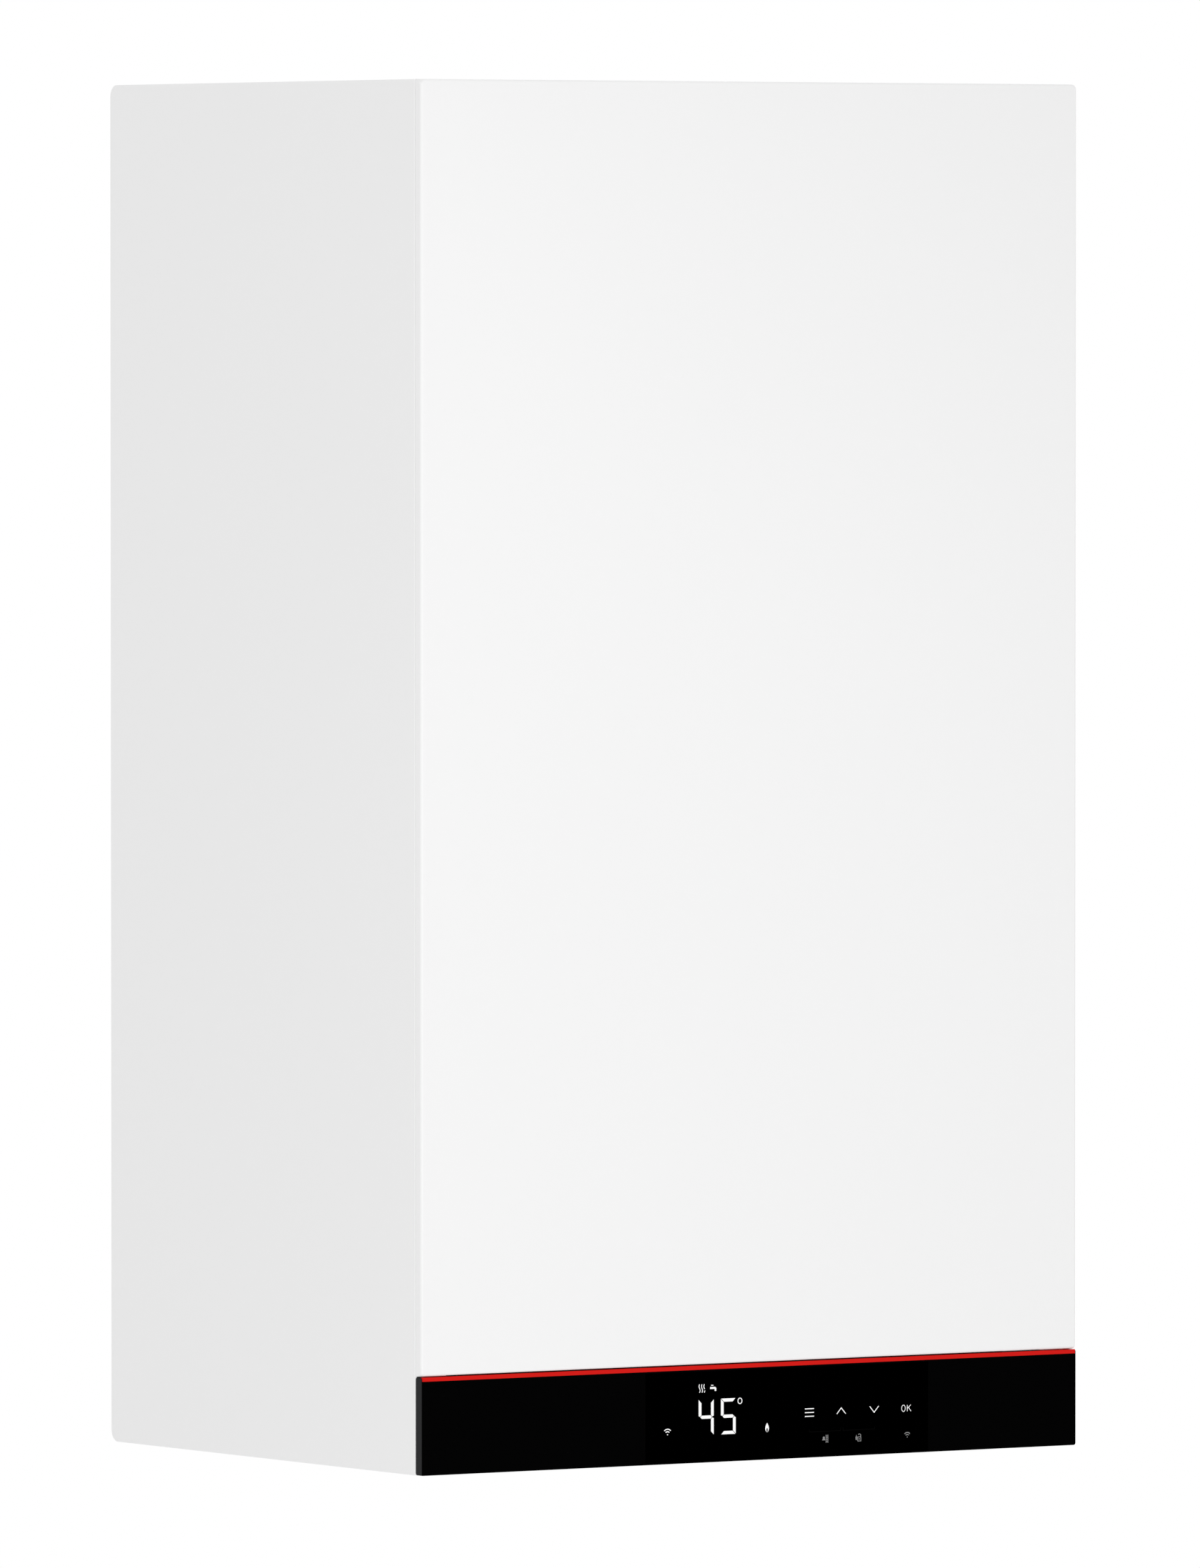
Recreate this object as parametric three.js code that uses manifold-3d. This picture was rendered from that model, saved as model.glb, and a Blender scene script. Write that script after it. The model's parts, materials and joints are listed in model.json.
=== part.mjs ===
// A wall-hung gas combi boiler: a sheet-metal casing with a lift-off front cover and a fold-down control
// panel, and inside it the heat cell, fan, gas valve, pump, diverter valve and plate heat exchanger.
// Millimetres. X points right, Y towards the wall and Z up. Heights are written from the casing's lower
// edge; the whole model is lowered at the end, so that its origin lies on the wall behind the bracket.
import * as THREE from "three";
import { ConvexGeometry } from "three/addons/geometries/ConvexGeometry.js";
import { mergeVertices } from "three/addons/utils/BufferGeometryUtils.js";
import Module from "manifold-3d";

const wasm = await Module();
wasm.setup();

// ---- Driving dimensions: casing ----
const CASING_WIDTH = 400;
const CASING_HEIGHT = 700;
const CASING_DEPTH = 297; // wall to the cover's front plane
const SHEET = 1.2; // every folded casing sheet
const FIT = 0.3; // gap between pieces that touch
const REAR_BEND = 6; // radius at the rear top and bottom edges
const SIDE_FLANGE = 12;
const SIDE_BEND = 1; // outer radius of the side panels' front fold
const TOP_REAR_FLANGE = 20;
const REAR_RECESS = 14; // wall to the back of the rear panel, room for the bracket
const TRAY_HEIGHT = 30; // underside of the tray floor
const TRAY_WALL_SETBACK = 63.8; // front plane to the tray's front wall
const SHELF_RISE = 5.4; // top of the tray's shelf above the fascia
const RAIL_HEIGHT = 38;
const RAIL_FOOT = 16;

// ---- Wall bracket ----
const HANG_DROP = 60; // top of the casing to the middle of the bracket
const BRACKET_WIDTH = 300;
const BRACKET_HEIGHT = 50;
const BRACKET_SHEET = 3;
const HOOK_WIDTH = 24;
const HOOK_LIFT = 15; // height of the hook's upright lip
const HOOK_SPACING = 120;
const BRACKET_HOLE_RADIUS = 4.5;
const BRACKET_HOLE_SPACING = 250;

// ---- Front cover ----
const COVER_RETURN = 5.2; // front plane to the cover's rear edge
const SEAM = 0.5; // cover's rear edge to the side panels
const COVER_EDGE = 1.5; // rounding of the front edges
const COVER_CORNER = 2.8; // rounding of the upper corners, which runs out to nothing at the casing
const COVER_GAP = 0.3; // fascia to the cover's lower corners
const COVER_RELIEF = 0.4; // lower edge raised between the corners
const RELIEF_LEFT_END = 15.1;
const RELIEF_RIGHT_END = 22.3;
const COVER_TOP_REACH = 35; // front plane to the back of the hooking lip
const COVER_LIP = 14;
const TAB_SPACING = 300;
const TAB_WIDTH = 24;
const TAB_REACH = 21;
const SCREW_SETBACK = 14; // front plane to the screw axis
const SCREW_RADIUS = 2.5;
const SCREW_HEAD_RADIUS = 5;
const SCREW_HEAD = 2.2;
const SCREW_LENGTH = 8;
const GASKET_WIDTH = 7;
const INSULATION_MARGIN = 14;
const INSULATION_THICKNESS = 3.5;

// ---- Control panel ----
const FASCIA_HEIGHT = 49.4;
const FASCIA_EDGE = 0.6;
const STRIP_HEIGHT = 2.1;
const STRIP_DEPTH = 1.2;
const GLASS_LEFT = -65.3;
const GLASS_RIGHT = 107.6;
const GLASS_THICKNESS = 1.5;
const PANEL_MARGIN = 20; // casing side to the control housing
const PANEL_WALL = 2;
const PANEL_DEPTH = 53.5; // front plane to the back of the control housing
const PIVOT_SETBACK = 47;
const PIVOT_HEIGHT = 6;
const PIN_RADIUS = 2.5;
const BOARD_THICKNESS = 1.6;
const RIB_SPACING = 90; // on the back of the control housing
const RELAY_XS = [-120, -98, -76];
const TRANSFORMER_X = [-60, -30];
const CAPACITOR_XS = [-20, 2, 24];
const PLUGS = 5;
const PLUG_FIRST = 65;
const PLUG_PITCH = 20;
const DISPLAY_MODULE = [12, 70]; // from the glass's left end

// ---- Heat cell, about its axis ----
const CELL_DROP = 185; // top of the casing to the cell's axis
const CELL_RADIUS = 105;
const CELL_WALL = 4.5;
const CELL_BACK = 45; // distances from the wall
const CELL_FRONT = 215;
const CELL_FOOT_OFFSET = 60;
const COIL_RADIUS = 84;
const COIL_TUBE = 7.5;
const COIL_PITCH = 20;
const COIL_TURNS = 5.5;
const COIL_BACK = 75;
const COIL_LEG = 115;
const BURNER_RADIUS = 35;
const BURNER_LENGTH = 120;
const DOOR_RADIUS = 112;
const DOOR_THICKNESS = 12;
const DOOR_GASKET = 2.4;
const DOOR_BOSS_RADIUS = 35;
const DOOR_BOSS_LENGTH = 32;
const DOOR_NUTS = 6;
const DOOR_NUT_CIRCLE = 96;
const DOOR_RIM = 3;
const DOOR_INSULATION = 10;
const FLUE_SETBACK = 120; // wall to the flue's axis
const FLUE_RADIUS = 30;
const FLUE_STUB_TOP = 125; // above the cell's axis
const AIR_RADIUS = 50;
const DRAIN_STUB = 120; // below the cell's axis
const DRAIN_RADIUS = 9;
const DRAIN_SETBACK = 70;

// ---- Fan, about its axis ----
const FAN_OFFSET = 62; // right of the middle
const FAN_DROP = 175; // below the heat cell's axis
const FAN_SETBACK = 52; // front plane to the fan housing
const FAN_WIDTH = 48;
const SCROLL_MAX = 78;
const SCROLL_MIN = 50;
const SCROLL_WALL = 3;
const OUTLET_WIDTH = 28;
const OUTLET_RISE = 57;
const IMPELLER_RADIUS = 40;
const IMPELLER_EYE = 20;
const IMPELLER_WIDTH = 30;
const BLADES = 16;
const BLADE_SWEEP = 35; // degrees from eye to rim
const FAN_SHAFT_RADIUS = 3;
const FAN_MOTOR_RADIUS = 38;
const FAN_MOTOR_LENGTH = 24.5;
const ELBOW_RADIUS = 13;
const VENTURI_RADIUS = 24;
const VENTURI_LENGTH = 45;
const VENTURI_THROAT = 14;
const GAS_VALVE_WIDTH = 70;
const GAS_VALVE_HEIGHT = 62;
const GAS_VALVE_DEPTH = 55;
const GAS_VALVE_SETBACK = 52;
const GAS_PIPE_RADIUS = 8;
const GAS_KNEE_DROP = 34; // valve to the pipe's level run
const INJECTOR_PIPE_RADIUS = 5;
const IGNITION_WIDTH = 40;
const IGNITION_FRONT = 200;
const IGNITION_DEPTH = 50;
const IGNITION_HEIGHT = 50;
const IGNITION_DROP = 25; // below the heat cell's axis
const IGNITION_PLUG_RADIUS = 6;
const IGNITION_PLUG = 10;

// ---- Water circuit ----
const PORT_SETBACK = 110; // wall to the row of connections
const PORT_OUTER = 100; // heating flow and return, from the middle
const PORT_INNER = 35; // hot and cold water, from the middle
const PORT_RADIUS = 11;
const PORT_BORE = 7;
const PORT_BORE_DEPTH = 16;
const PORT_END = 4; // height of the connections' ends
const PORT_CLEARANCE = 4;
const MANIFOLD_BOTTOM = 55;
const MANIFOLD_TOP = 95;
const MANIFOLD_DEPTH = 50;
const MANIFOLD_INNER = 20;
const MANIFOLD_CLEARANCE = 22; // vessel pipe's axis to the manifold's end
const PIPE_RADIUS = 8;
const PIPE_BEND = 20;
const EXCHANGER_WIDTH = 104;
const EXCHANGER_HEIGHT = 72;
const EXCHANGER_PLATES = 10;
const PLATE_PITCH = 6.4;
const PUMP_MARGIN = 63.8; // side panel to the pump's axis
const PUMP_HEIGHT = 150;
const PUMP_RADIUS = 40;
const PUMP_BACK = 95;
const PUMP_FRONT = 140;
const PUMP_MOTOR_RADIUS = 36;
const PUMP_MOTOR_LENGTH = 75;
const PUMP_WHEEL_RADIUS = 28;
const PUMP_SHAFT_RADIUS = 4;
const PUMP_SHAFT = 28; // reach into the motor
const PUMP_NECK_RADIUS = 13;
const PUMP_NECK_RISE = 16; // outlet above the volute
const SUCTION_OFFSET = 22; // left of the pump's axis
const OUTLET_OFFSET = 15;
const VENT_OFFSET = 18; // right of the pump's axis
const VENT_NECK_RADIUS = 8;
const VENT_NECK_RISE = 6;
const TERMINAL_REACH = 46;
const TERMINAL_HEIGHT = 44;
const TERMINAL_INSET = 14;
const DIVERTER_OFFSET = 84;
const DIVERTER_WIDTH = 52;
const DIVERTER_TOP = 160;
const DIVERTER_STROKE = 7;
const DIVERTER_GAP = 14.7; // valve body to its motor
const STEM_RADIUS = 3;
const VESSEL_MARGIN = 8.8; // side panel to the vessel
const VESSEL_CLEARANCE = 9; // vessel to the heat cell
const VESSEL_BOTTOM = 255;
const VESSEL_TOP_MARGIN = 45;
const VESSEL_BACK = 24;
const VESSEL_SETBACK = 35;
const VESSEL_ROUNDING = 18;
const VESSEL_WALL = 2;
const VESSEL_RIM = 4;
const VESSEL_CORNER = 36;
const VESSEL_FOOT_INSET = 80;
const FLOW_BEND_DROP = 25; // vessel's underside to the flow pipe's bend
const RETURN_RISE = 75; // pump outlet to the return pipe's bend
const RETURN_DROP = 65; // coil's end to the return pipe's upper bend
const TRAP_MARGIN = 33.8; // side panel to the trap's axis
const TRAP_SETBACK = 70;
const TRAP_RADIUS = 24;
const TRAP_TOP = 200;
const TRAP_NECK_RADIUS = 16;
const TRAP_NECK = 12;
const CUP_RADIUS = 22;
const CUP_BOTTOM = 6;

// ---- Places worked out from the sizes above ----
const HALF = CASING_WIDTH / 2;
const SIDE_INNER = HALF - SHEET;
const INNER_HALF = SIDE_INNER - FIT; // half-length of what spans between the side panels
const FRONT = -CASING_DEPTH;
const COVER_BACK = FRONT + COVER_RETURN;
const CASING_FRONT = COVER_BACK + SEAM;
const REAR_FACE = -REAR_RECESS - SHEET; // front face of the rear panel
const HANG_HEIGHT = CASING_HEIGHT - HANG_DROP;
const COVER_BOTTOM = FASCIA_HEIGHT + COVER_GAP;
const SHELF_TOP = FASCIA_HEIGHT + SHELF_RISE;
const TAB_BOTTOM = SHELF_TOP + FIT;
const TOP_UNDERSIDE = CASING_HEIGHT - SHEET;
const LIP_BACK = FRONT + COVER_TOP_REACH;
const RAIL_FRONT = LIP_BACK - 2 * SHEET - FIT;
const SCREW_Y = FRONT + SCREW_SETBACK;
const PIVOT_Y = FRONT + PIVOT_SETBACK;
const PANEL_BACK = FRONT + PANEL_DEPTH;
const CELL_Z = CASING_HEIGHT - CELL_DROP;
const FAN_FRONT = CASING_DEPTH - FAN_SETBACK;
const GAS_VALVE_FRONT = CASING_DEPTH - GAS_VALVE_SETBACK;
const VESSEL_FRONT = CASING_DEPTH - VESSEL_SETBACK;
const PUMP_OFFSET = SIDE_INNER - PUMP_MARGIN;
const TRAP_OFFSET = SIDE_INNER - TRAP_MARGIN;
const VESSEL_THICKNESS = SIDE_INNER - VESSEL_MARGIN - CELL_RADIUS - VESSEL_CLEARANCE;
const FAN_Z = CELL_Z - FAN_DROP;
const DOOR_BACK = -CELL_FRONT - DOOR_GASKET - 2 * FIT;
const DOOR_FRONT = DOOR_BACK - DOOR_THICKNESS;
const OUTLET_X = FAN_OFFSET + SCROLL_MAX - OUTLET_WIDTH / 2;
const FAN_REAR = -FAN_FRONT + FAN_WIDTH;
const ELBOW_Y = DOOR_FRONT - DOOR_RIM - ELBOW_RADIUS - 1;
const GAS_VALVE_TOP = FAN_Z - SCROLL_MAX + 6;
const GAS_VALVE_BOTTOM = GAS_VALVE_TOP - GAS_VALVE_HEIGHT;
const MANIFOLD_Y = [-PORT_SETBACK - MANIFOLD_DEPTH / 2, -PORT_SETBACK + MANIFOLD_DEPTH / 2];
const COIL_FRONT = COIL_BACK + COIL_PITCH * COIL_TURNS;
const COIL_END_Z = CELL_Z - COIL_LEG;
const VESSEL_X = -SIDE_INNER + VESSEL_MARGIN + VESSEL_THICKNESS / 2;
const MANIFOLD_OUTER = -VESSEL_X - MANIFOLD_CLEARANCE;
const VESSEL_TOP = CASING_HEIGHT - VESSEL_TOP_MARGIN;

// ---- Finishes: colour, roughness, metalness ----
const FINISHES = {
  white: ["#f3f4f4", 0.42, 0.0],
  galvanised: ["#b9bdbf", 0.45, 0.8],
  steel: ["#c9ccce", 0.35, 0.9],
  black: ["#0b0b0c", 0.3, 0.0],
  glass: ["#020203", 0.06, 0.0],
  red: ["#dc1d18", 0.35, 0.0],
  darkPlastic: ["#2b2d30", 0.55, 0.0],
  rubber: ["#1c1c1d", 0.85, 0.0],
  foam: ["#8d9093", 0.95, 0.0],
  castAluminium: ["#a9acae", 0.55, 0.75],
  copper: ["#b8704a", 0.35, 0.9],
  brass: ["#b89a58", 0.4, 0.85],
  ceramic: ["#e6e1d6", 0.7, 0.0],
  vesselRed: ["#b3231d", 0.4, 0.0],
  board: ["#1f5a38", 0.6, 0.0],
  greyPlastic: ["#7d8287", 0.6, 0.0],
};

// ---- Geometry helpers ----
const ARC_STEPS = 3;
const SIDES = 20;
const ROUND_SIDES = 28; // heat cell and its door
const COIL_STEPS = 12; // in each turn of the coil

// A closed surface as a solid that can be joined and cut. Its outline may run either way round.
function solid(geometry) {
  for (const key of Object.keys(geometry.attributes)) {
    if (key !== "position") geometry.deleteAttribute(key);
  }
  const merged = mergeVertices(geometry, 1e-4);
  const vertProperties = merged.attributes.position.array;
  const triVerts = new Uint32Array(merged.index.array);
  const made = new wasm.Manifold(new wasm.Mesh({ numProp: 3, vertProperties, triVerts }));
  if (made.volume() > 0) return made;
  triVerts.reverse();
  return new wasm.Manifold(new wasm.Mesh({ numProp: 3, vertProperties, triVerts }));
}

function join(...shapes) {
  return shapes.reduce((whole, shape) => whole.add(shape));
}

function cut(shape, ...tools) {
  return tools.reduce((whole, tool) => whole.subtract(tool), shape);
}

function box([x0, x1], [y0, y1], [z0, z1]) {
  const geometry = new THREE.BoxGeometry(x1 - x0, y1 - y0, z1 - z0);
  return solid(geometry.translate((x0 + x1) / 2, (y0 + y1) / 2, (z0 + z1) / 2));
}

// Turns a shape made along three.js's Y axis onto a row axis, through a centre given as the other two places.
function onAxis(axis, geometry, [u, v]) {
  if (axis === "x") return geometry.rotateZ(-Math.PI / 2).translate(0, u, v);
  if (axis === "z") return geometry.rotateX(Math.PI / 2).translate(u, v, 0);
  return geometry.translate(u, 0, v);
}

function rod(axis, centre, radius, [from, to], sides = SIDES) {
  const geometry = new THREE.CylinderGeometry(radius, radius, to - from, sides);
  return solid(onAxis(axis, geometry.translate(0, (from + to) / 2, 0), centre));
}

// A turned piece: the profile holds [radius, place along the axis] and ends on the axis or closes on itself.
function turned(axis, centre, profile, sides = SIDES) {
  const points = profile.map(([radius, along]) => new THREE.Vector2(radius, along));
  return solid(onAxis(axis, new THREE.LatheGeometry(points, sides), centre));
}

function ring(axis, centre, [inner, outer], [from, to], sides = SIDES) {
  const corners = [[inner, from], [outer, from], [outer, to], [inner, to], [inner, from]];
  return turned(axis, centre, corners, sides);
}

const AXIS_FRAMES = {
  x: [[0, 1, 0], [0, 0, 1], [1, 0, 0]],
  y: [[1, 0, 0], [0, 0, 1], [0, -1, 0]],
  z: [[1, 0, 0], [0, 1, 0], [0, 0, 1]],
};

const toPoint = ([u, v]) => new THREE.Vector2(u, v);

// An outline swept along an axis. It lies in YZ, XZ or XY, in that order of coordinates.
function prism(axis, outline, [from, to], bevel = {}) {
  const shape = Array.isArray(outline) ? new THREE.Shape(outline.map(toPoint)) : outline;
  const options = { depth: to - from, bevelEnabled: false, curveSegments: ARC_STEPS, ...bevel };
  const geometry = new THREE.ExtrudeGeometry(shape, options);
  const frame = AXIS_FRAMES[axis].map((v) => new THREE.Vector3(...v));
  geometry.applyMatrix4(new THREE.Matrix4().makeBasis(...frame));
  const start = axis === "y" ? frame[2].clone().multiplyScalar(-to) : frame[2].clone().multiplyScalar(from);
  return solid(geometry.translate(start.x, start.y, start.z));
}

// Corner radii run anticlockwise from the lowest u and v.
function roundedRect([u0, u1], [v0, v1], radii) {
  const [a, b, c, d] = Array.isArray(radii) ? radii : [radii, radii, radii, radii];
  const turn = Math.PI / 2;
  const shape = new THREE.Shape();
  shape.moveTo(u0 + a, v0);
  shape.lineTo(u1 - b, v0);
  if (b) shape.absarc(u1 - b, v0 + b, b, -turn, 0);
  shape.lineTo(u1, v1 - c);
  if (c) shape.absarc(u1 - c, v1 - c, c, 0, turn);
  shape.lineTo(u0 + d, v1);
  if (d) shape.absarc(u0 + d, v1 - d, d, turn, 2 * turn);
  shape.lineTo(u0, v0 + a);
  if (a) shape.absarc(u0 + a, v0 + a, a, 2 * turn, 3 * turn);
  return shape;
}

// A plate across the boiler's front, with rounded corners and rounded front edges.
function frontPlate([x0, x1], [z0, z1], [front, back], corner, edge) {
  const outline = roundedRect([x0, x1], [z0, z1], corner);
  const bevel = {
    bevelEnabled: true,
    bevelThickness: edge,
    bevelSize: edge,
    bevelOffset: -edge,
    bevelSegments: ARC_STEPS,
  };
  const swept = prism("y", outline, [front + edge, back + edge], bevel);
  return swept.intersect(box([x0 - 1, x1 + 1], [front - 1, back], [z0 - 1, z1 + 1]));
}

// The same plate with its rear face drawn out to square corners.
function squareBacked(plate, [x0, x1], [z0, z1], [front, back], edge) {
  const { vertProperties } = plate.getMesh();
  const points = [x0, x1].flatMap((x) => [z0, z1].map((z) => new THREE.Vector3(x, back, z)));
  for (let i = 0; i < vertProperties.length; i += 3) {
    const point = new THREE.Vector3(...vertProperties.subarray(i, i + 3));
    if (point.y < front + edge + FIT) points.push(point);
  }
  return solid(new ConvexGeometry(points));
}

// A path through given points, which carries a tube's section from one to the next.
class Run extends THREE.Curve {
  constructor(knots) {
    super();
    this.knots = knots;
  }
  getPointAt(u, target = new THREE.Vector3()) {
    return target.copy(this.knots[Math.round(u * (this.knots.length - 1))]);
  }
  getTangentAt(u, target = new THREE.Vector3()) {
    const last = this.knots.length - 1;
    const at = Math.round(u * last);
    const next = this.knots[Math.min(at + 1, last)];
    return target.copy(next).sub(this.knots[Math.max(at - 1, 0)]).normalize();
  }
}

function tube(knots, radius, sides = 10) {
  const corner = (_, i) => new THREE.Vector2(Math.cos((i * 2 * Math.PI) / sides), Math.sin((i * 2 * Math.PI) / sides));
  const section = new THREE.Shape(Array.from({ length: sides }, corner).map((p) => p.multiplyScalar(radius)));
  const options = { steps: knots.length - 1, extrudePath: new Run(knots), bevelEnabled: false };
  return solid(new THREE.ExtrudeGeometry(section, options));
}

// Straight legs between the corners, with each corner rounded to the bend radius.
function bentKnots(corners, bend) {
  const points = corners.map((corner) => new THREE.Vector3(...corner));
  const knots = [points[0]];
  for (let i = 1; i < points.length - 1; i++) {
    const arriving = points[i].clone().sub(points[i - 1]).normalize();
    const leaving = points[i + 1].clone().sub(points[i]).normalize();
    const setback = bend * Math.tan(arriving.angleTo(leaving) / 2);
    const start = points[i].clone().addScaledVector(arriving, -setback);
    const end = points[i].clone().addScaledVector(leaving, setback);
    knots.push(...new THREE.QuadraticBezierCurve3(start, points[i], end).getPoints(ARC_STEPS));
  }
  knots.push(points.at(-1));
  return knots;
}

function bentTube(corners, radius, bend, sides) {
  return tube(bentKnots(corners, bend), radius, sides);
}

// A range of x on the left (-1) or right (1) side.
function onSide(side, near, far) {
  return side > 0 ? [near, far] : [-far, -near];
}

const across = (half) => [-half, half];
const around = (middle, size) => [middle - size / 2, middle + size / 2];

// ---- Scene graph ----
const boiler = new THREE.Group();

function group(x = 0, z = 0) {
  const made = new THREE.Group();
  made.position.set(x, 0, z);
  boiler.add(made);
  return made;
}

function piece(parent, name, shape, finish) {
  const { vertProperties, triVerts } = shape.getMesh();
  const geometry = new THREE.BufferGeometry();
  geometry.setAttribute("position", new THREE.BufferAttribute(vertProperties, 3));
  geometry.setIndex(new THREE.BufferAttribute(triVerts, 1));
  geometry.computeVertexNormals();
  const [color, roughness, metalness] = FINISHES[finish];
  const material = new THREE.MeshStandardMaterial({ color, roughness, metalness, flatShading: true });
  const mesh = new THREE.Mesh(geometry, material);
  mesh.name = name;
  parent.add(mesh);
}

// ---- Casing ----
// A side panel reaches from the wall to the cover's seam, with a flange along its front and its rear edge.
function sidePanel(side) {
  const outline = roundedRect([CASING_FRONT - 1, 0], [0, CASING_HEIGHT], [0, REAR_BEND, REAR_BEND, 0]);
  const fold = side < 0 ? [SIDE_BEND, 0, 0, 0] : [0, SIDE_BEND, 0, 0];
  const section = roundedRect(onSide(side, SIDE_INNER, HALF), [CASING_FRONT, 1], fold);
  const upright = prism("z", section, [-1, CASING_HEIGHT + 1]);
  const sheet = upright.intersect(prism("x", outline, onSide(side, SIDE_INNER - 1, HALF + 1)));
  const flangeX = onSide(side, SIDE_INNER - SIDE_FLANGE, HALF - SIDE_BEND);
  const frontZ = [SHELF_TOP + FIT, TOP_UNDERSIDE - FIT];
  const rearZ = [REAR_BEND, CASING_HEIGHT - TOP_REAR_FLANGE - FIT];
  const frontFlange = box(flangeX, [CASING_FRONT, CASING_FRONT + SHEET], frontZ);
  return join(sheet, frontFlange, box(flangeX, [-SHEET, 0], rearZ));
}

// The top panel bends down at the wall, and its round opening takes the flue socket.
function topPanel() {
  const front = LIP_BACK + FIT;
  const outer = new THREE.Shape();
  outer.moveTo(front, CASING_HEIGHT);
  outer.lineTo(-REAR_BEND, CASING_HEIGHT);
  outer.absarc(-REAR_BEND, CASING_HEIGHT - REAR_BEND, REAR_BEND, Math.PI / 2, 0, true);
  outer.lineTo(0, CASING_HEIGHT - TOP_REAR_FLANGE);
  outer.lineTo(-SHEET, CASING_HEIGHT - TOP_REAR_FLANGE);
  outer.lineTo(-SHEET, CASING_HEIGHT - REAR_BEND);
  outer.absarc(-REAR_BEND, CASING_HEIGHT - REAR_BEND, REAR_BEND - SHEET, 0, Math.PI / 2, false);
  outer.lineTo(front, TOP_UNDERSIDE);
  const bent = prism("x", outer, across(INNER_HALF));
  const opening = AIR_RADIUS + 2 * SHEET + 2 * FIT;
  return cut(bent, rod("z", [0, -FLUE_SETBACK], opening, [TOP_UNDERSIDE - 1, CASING_HEIGHT + 1], ROUND_SIDES));
}

// The bracket's hooks pass through slots in the rear panel, and the slots' upper edges rest on them.
function hookXs() {
  return [-HOOK_SPACING / 2, HOOK_SPACING / 2];
}

function wallBracket() {
  const plateZ = around(HANG_HEIGHT, BRACKET_HEIGHT);
  let bracket = box(across(BRACKET_WIDTH / 2), [-BRACKET_SHEET, 0], plateZ);
  const lipFront = REAR_FACE - FIT - BRACKET_SHEET - 1;
  for (const x of hookXs()) {
    const outline = [
      [-SHEET, HANG_HEIGHT],
      [-SHEET, HANG_HEIGHT + BRACKET_SHEET],
      [lipFront + BRACKET_SHEET, HANG_HEIGHT + BRACKET_SHEET],
      [lipFront + BRACKET_SHEET, HANG_HEIGHT + HOOK_LIFT + BRACKET_SHEET],
      [lipFront, HANG_HEIGHT + HOOK_LIFT + BRACKET_SHEET],
      [lipFront, HANG_HEIGHT],
    ];
    bracket = join(bracket, prism("x", outline, around(x, HOOK_WIDTH)));
  }
  const holes = [-1, 1].map((side) =>
    rod("y", [(side * BRACKET_HOLE_SPACING) / 2, HANG_HEIGHT], BRACKET_HOLE_RADIUS, [-BRACKET_SHEET - 1, 1], 16),
  );
  return cut(bracket, ...holes);
}

function rearPanel() {
  const y = [REAR_FACE, -REAR_RECESS];
  const sheet = box(across(INNER_HALF), y, [TRAY_HEIGHT + SHEET + FIT, TOP_UNDERSIDE - FIT]);
  const slotTop = HANG_HEIGHT + BRACKET_SHEET + FIT;
  const slotBottom = slotTop - HOOK_LIFT - BRACKET_SHEET - 2 * FIT;
  const slots = hookXs().map((x) =>
    box(around(x, HOOK_WIDTH + 4), [y[0] - 1, y[1] + 1], [slotBottom, slotTop]),
  );
  return cut(sheet, ...slots);
}

const trayWall = FRONT + TRAY_WALL_SETBACK;
const PORT_XS = [-PORT_OUTER, -PORT_INNER, 0, PORT_INNER, PORT_OUTER];

// The tray's floor rises behind the control panel and turns forward as a shelf under the cover's tabs.
function bottomTray() {
  const outline = [
    [-REAR_RECESS, TRAY_HEIGHT],
    [-REAR_RECESS, TRAY_HEIGHT + SHEET],
    [trayWall + SHEET, TRAY_HEIGHT + SHEET],
    [trayWall + SHEET, SHELF_TOP],
    [CASING_FRONT, SHELF_TOP],
    [CASING_FRONT, SHELF_TOP - SHEET],
    [trayWall, SHELF_TOP - SHEET],
    [trayWall, TRAY_HEIGHT],
  ];
  const floorZ = [TRAY_HEIGHT - 1, TRAY_HEIGHT + SHEET + 1];
  const ports = PORT_XS.map((x) => rod("z", [x, -PORT_SETBACK], PORT_RADIUS + PORT_CLEARANCE, floorZ, 16));
  const trap = rod("z", [-TRAP_OFFSET, -TRAP_SETBACK], TRAP_NECK_RADIUS + FIT, floorZ);
  const screws = [-1, 1].map((side) =>
    rod("z", [(side * TAB_SPACING) / 2, SCREW_Y], SCREW_RADIUS + FIT, [SHELF_TOP - 2 * SHEET, SHELF_TOP + 1], 12),
  );
  return cut(prism("x", outline, across(INNER_HALF)), ...ports, trap, ...screws);
}

// The rail's upright lip stands in front of the cover's lip, which hooks over it.
function crossRail() {
  const top = TOP_UNDERSIDE - FIT;
  const outline = [
    [RAIL_FRONT, top],
    [RAIL_FRONT + SHEET, top],
    [RAIL_FRONT + SHEET, top - RAIL_HEIGHT + SHEET],
    [RAIL_FRONT + RAIL_FOOT, top - RAIL_HEIGHT + SHEET],
    [RAIL_FRONT + RAIL_FOOT, top - RAIL_HEIGHT],
    [RAIL_FRONT, top - RAIL_HEIGHT],
  ];
  return prism("x", outline, across(INNER_HALF));
}

function buildCasing() {
  const casing = group();
  piece(casing, "wall_bracket", wallBracket(), "galvanised");
  piece(casing, "rear_panel", rearPanel(), "galvanised");
  piece(casing, "side_panel_left", sidePanel(-1), "white");
  piece(casing, "side_panel_right", sidePanel(1), "white");
  piece(casing, "top_panel", topPanel(), "white");
  piece(casing, "bottom_tray", bottomTray(), "galvanised");
  piece(casing, "front_cross_rail", crossRail(), "galvanised");
}

// ---- Front cover ----
const coverInnerX = across(HALF - SHEET);
const coverSkin = FRONT + SHEET; // inner face of the cover's front sheet

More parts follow.
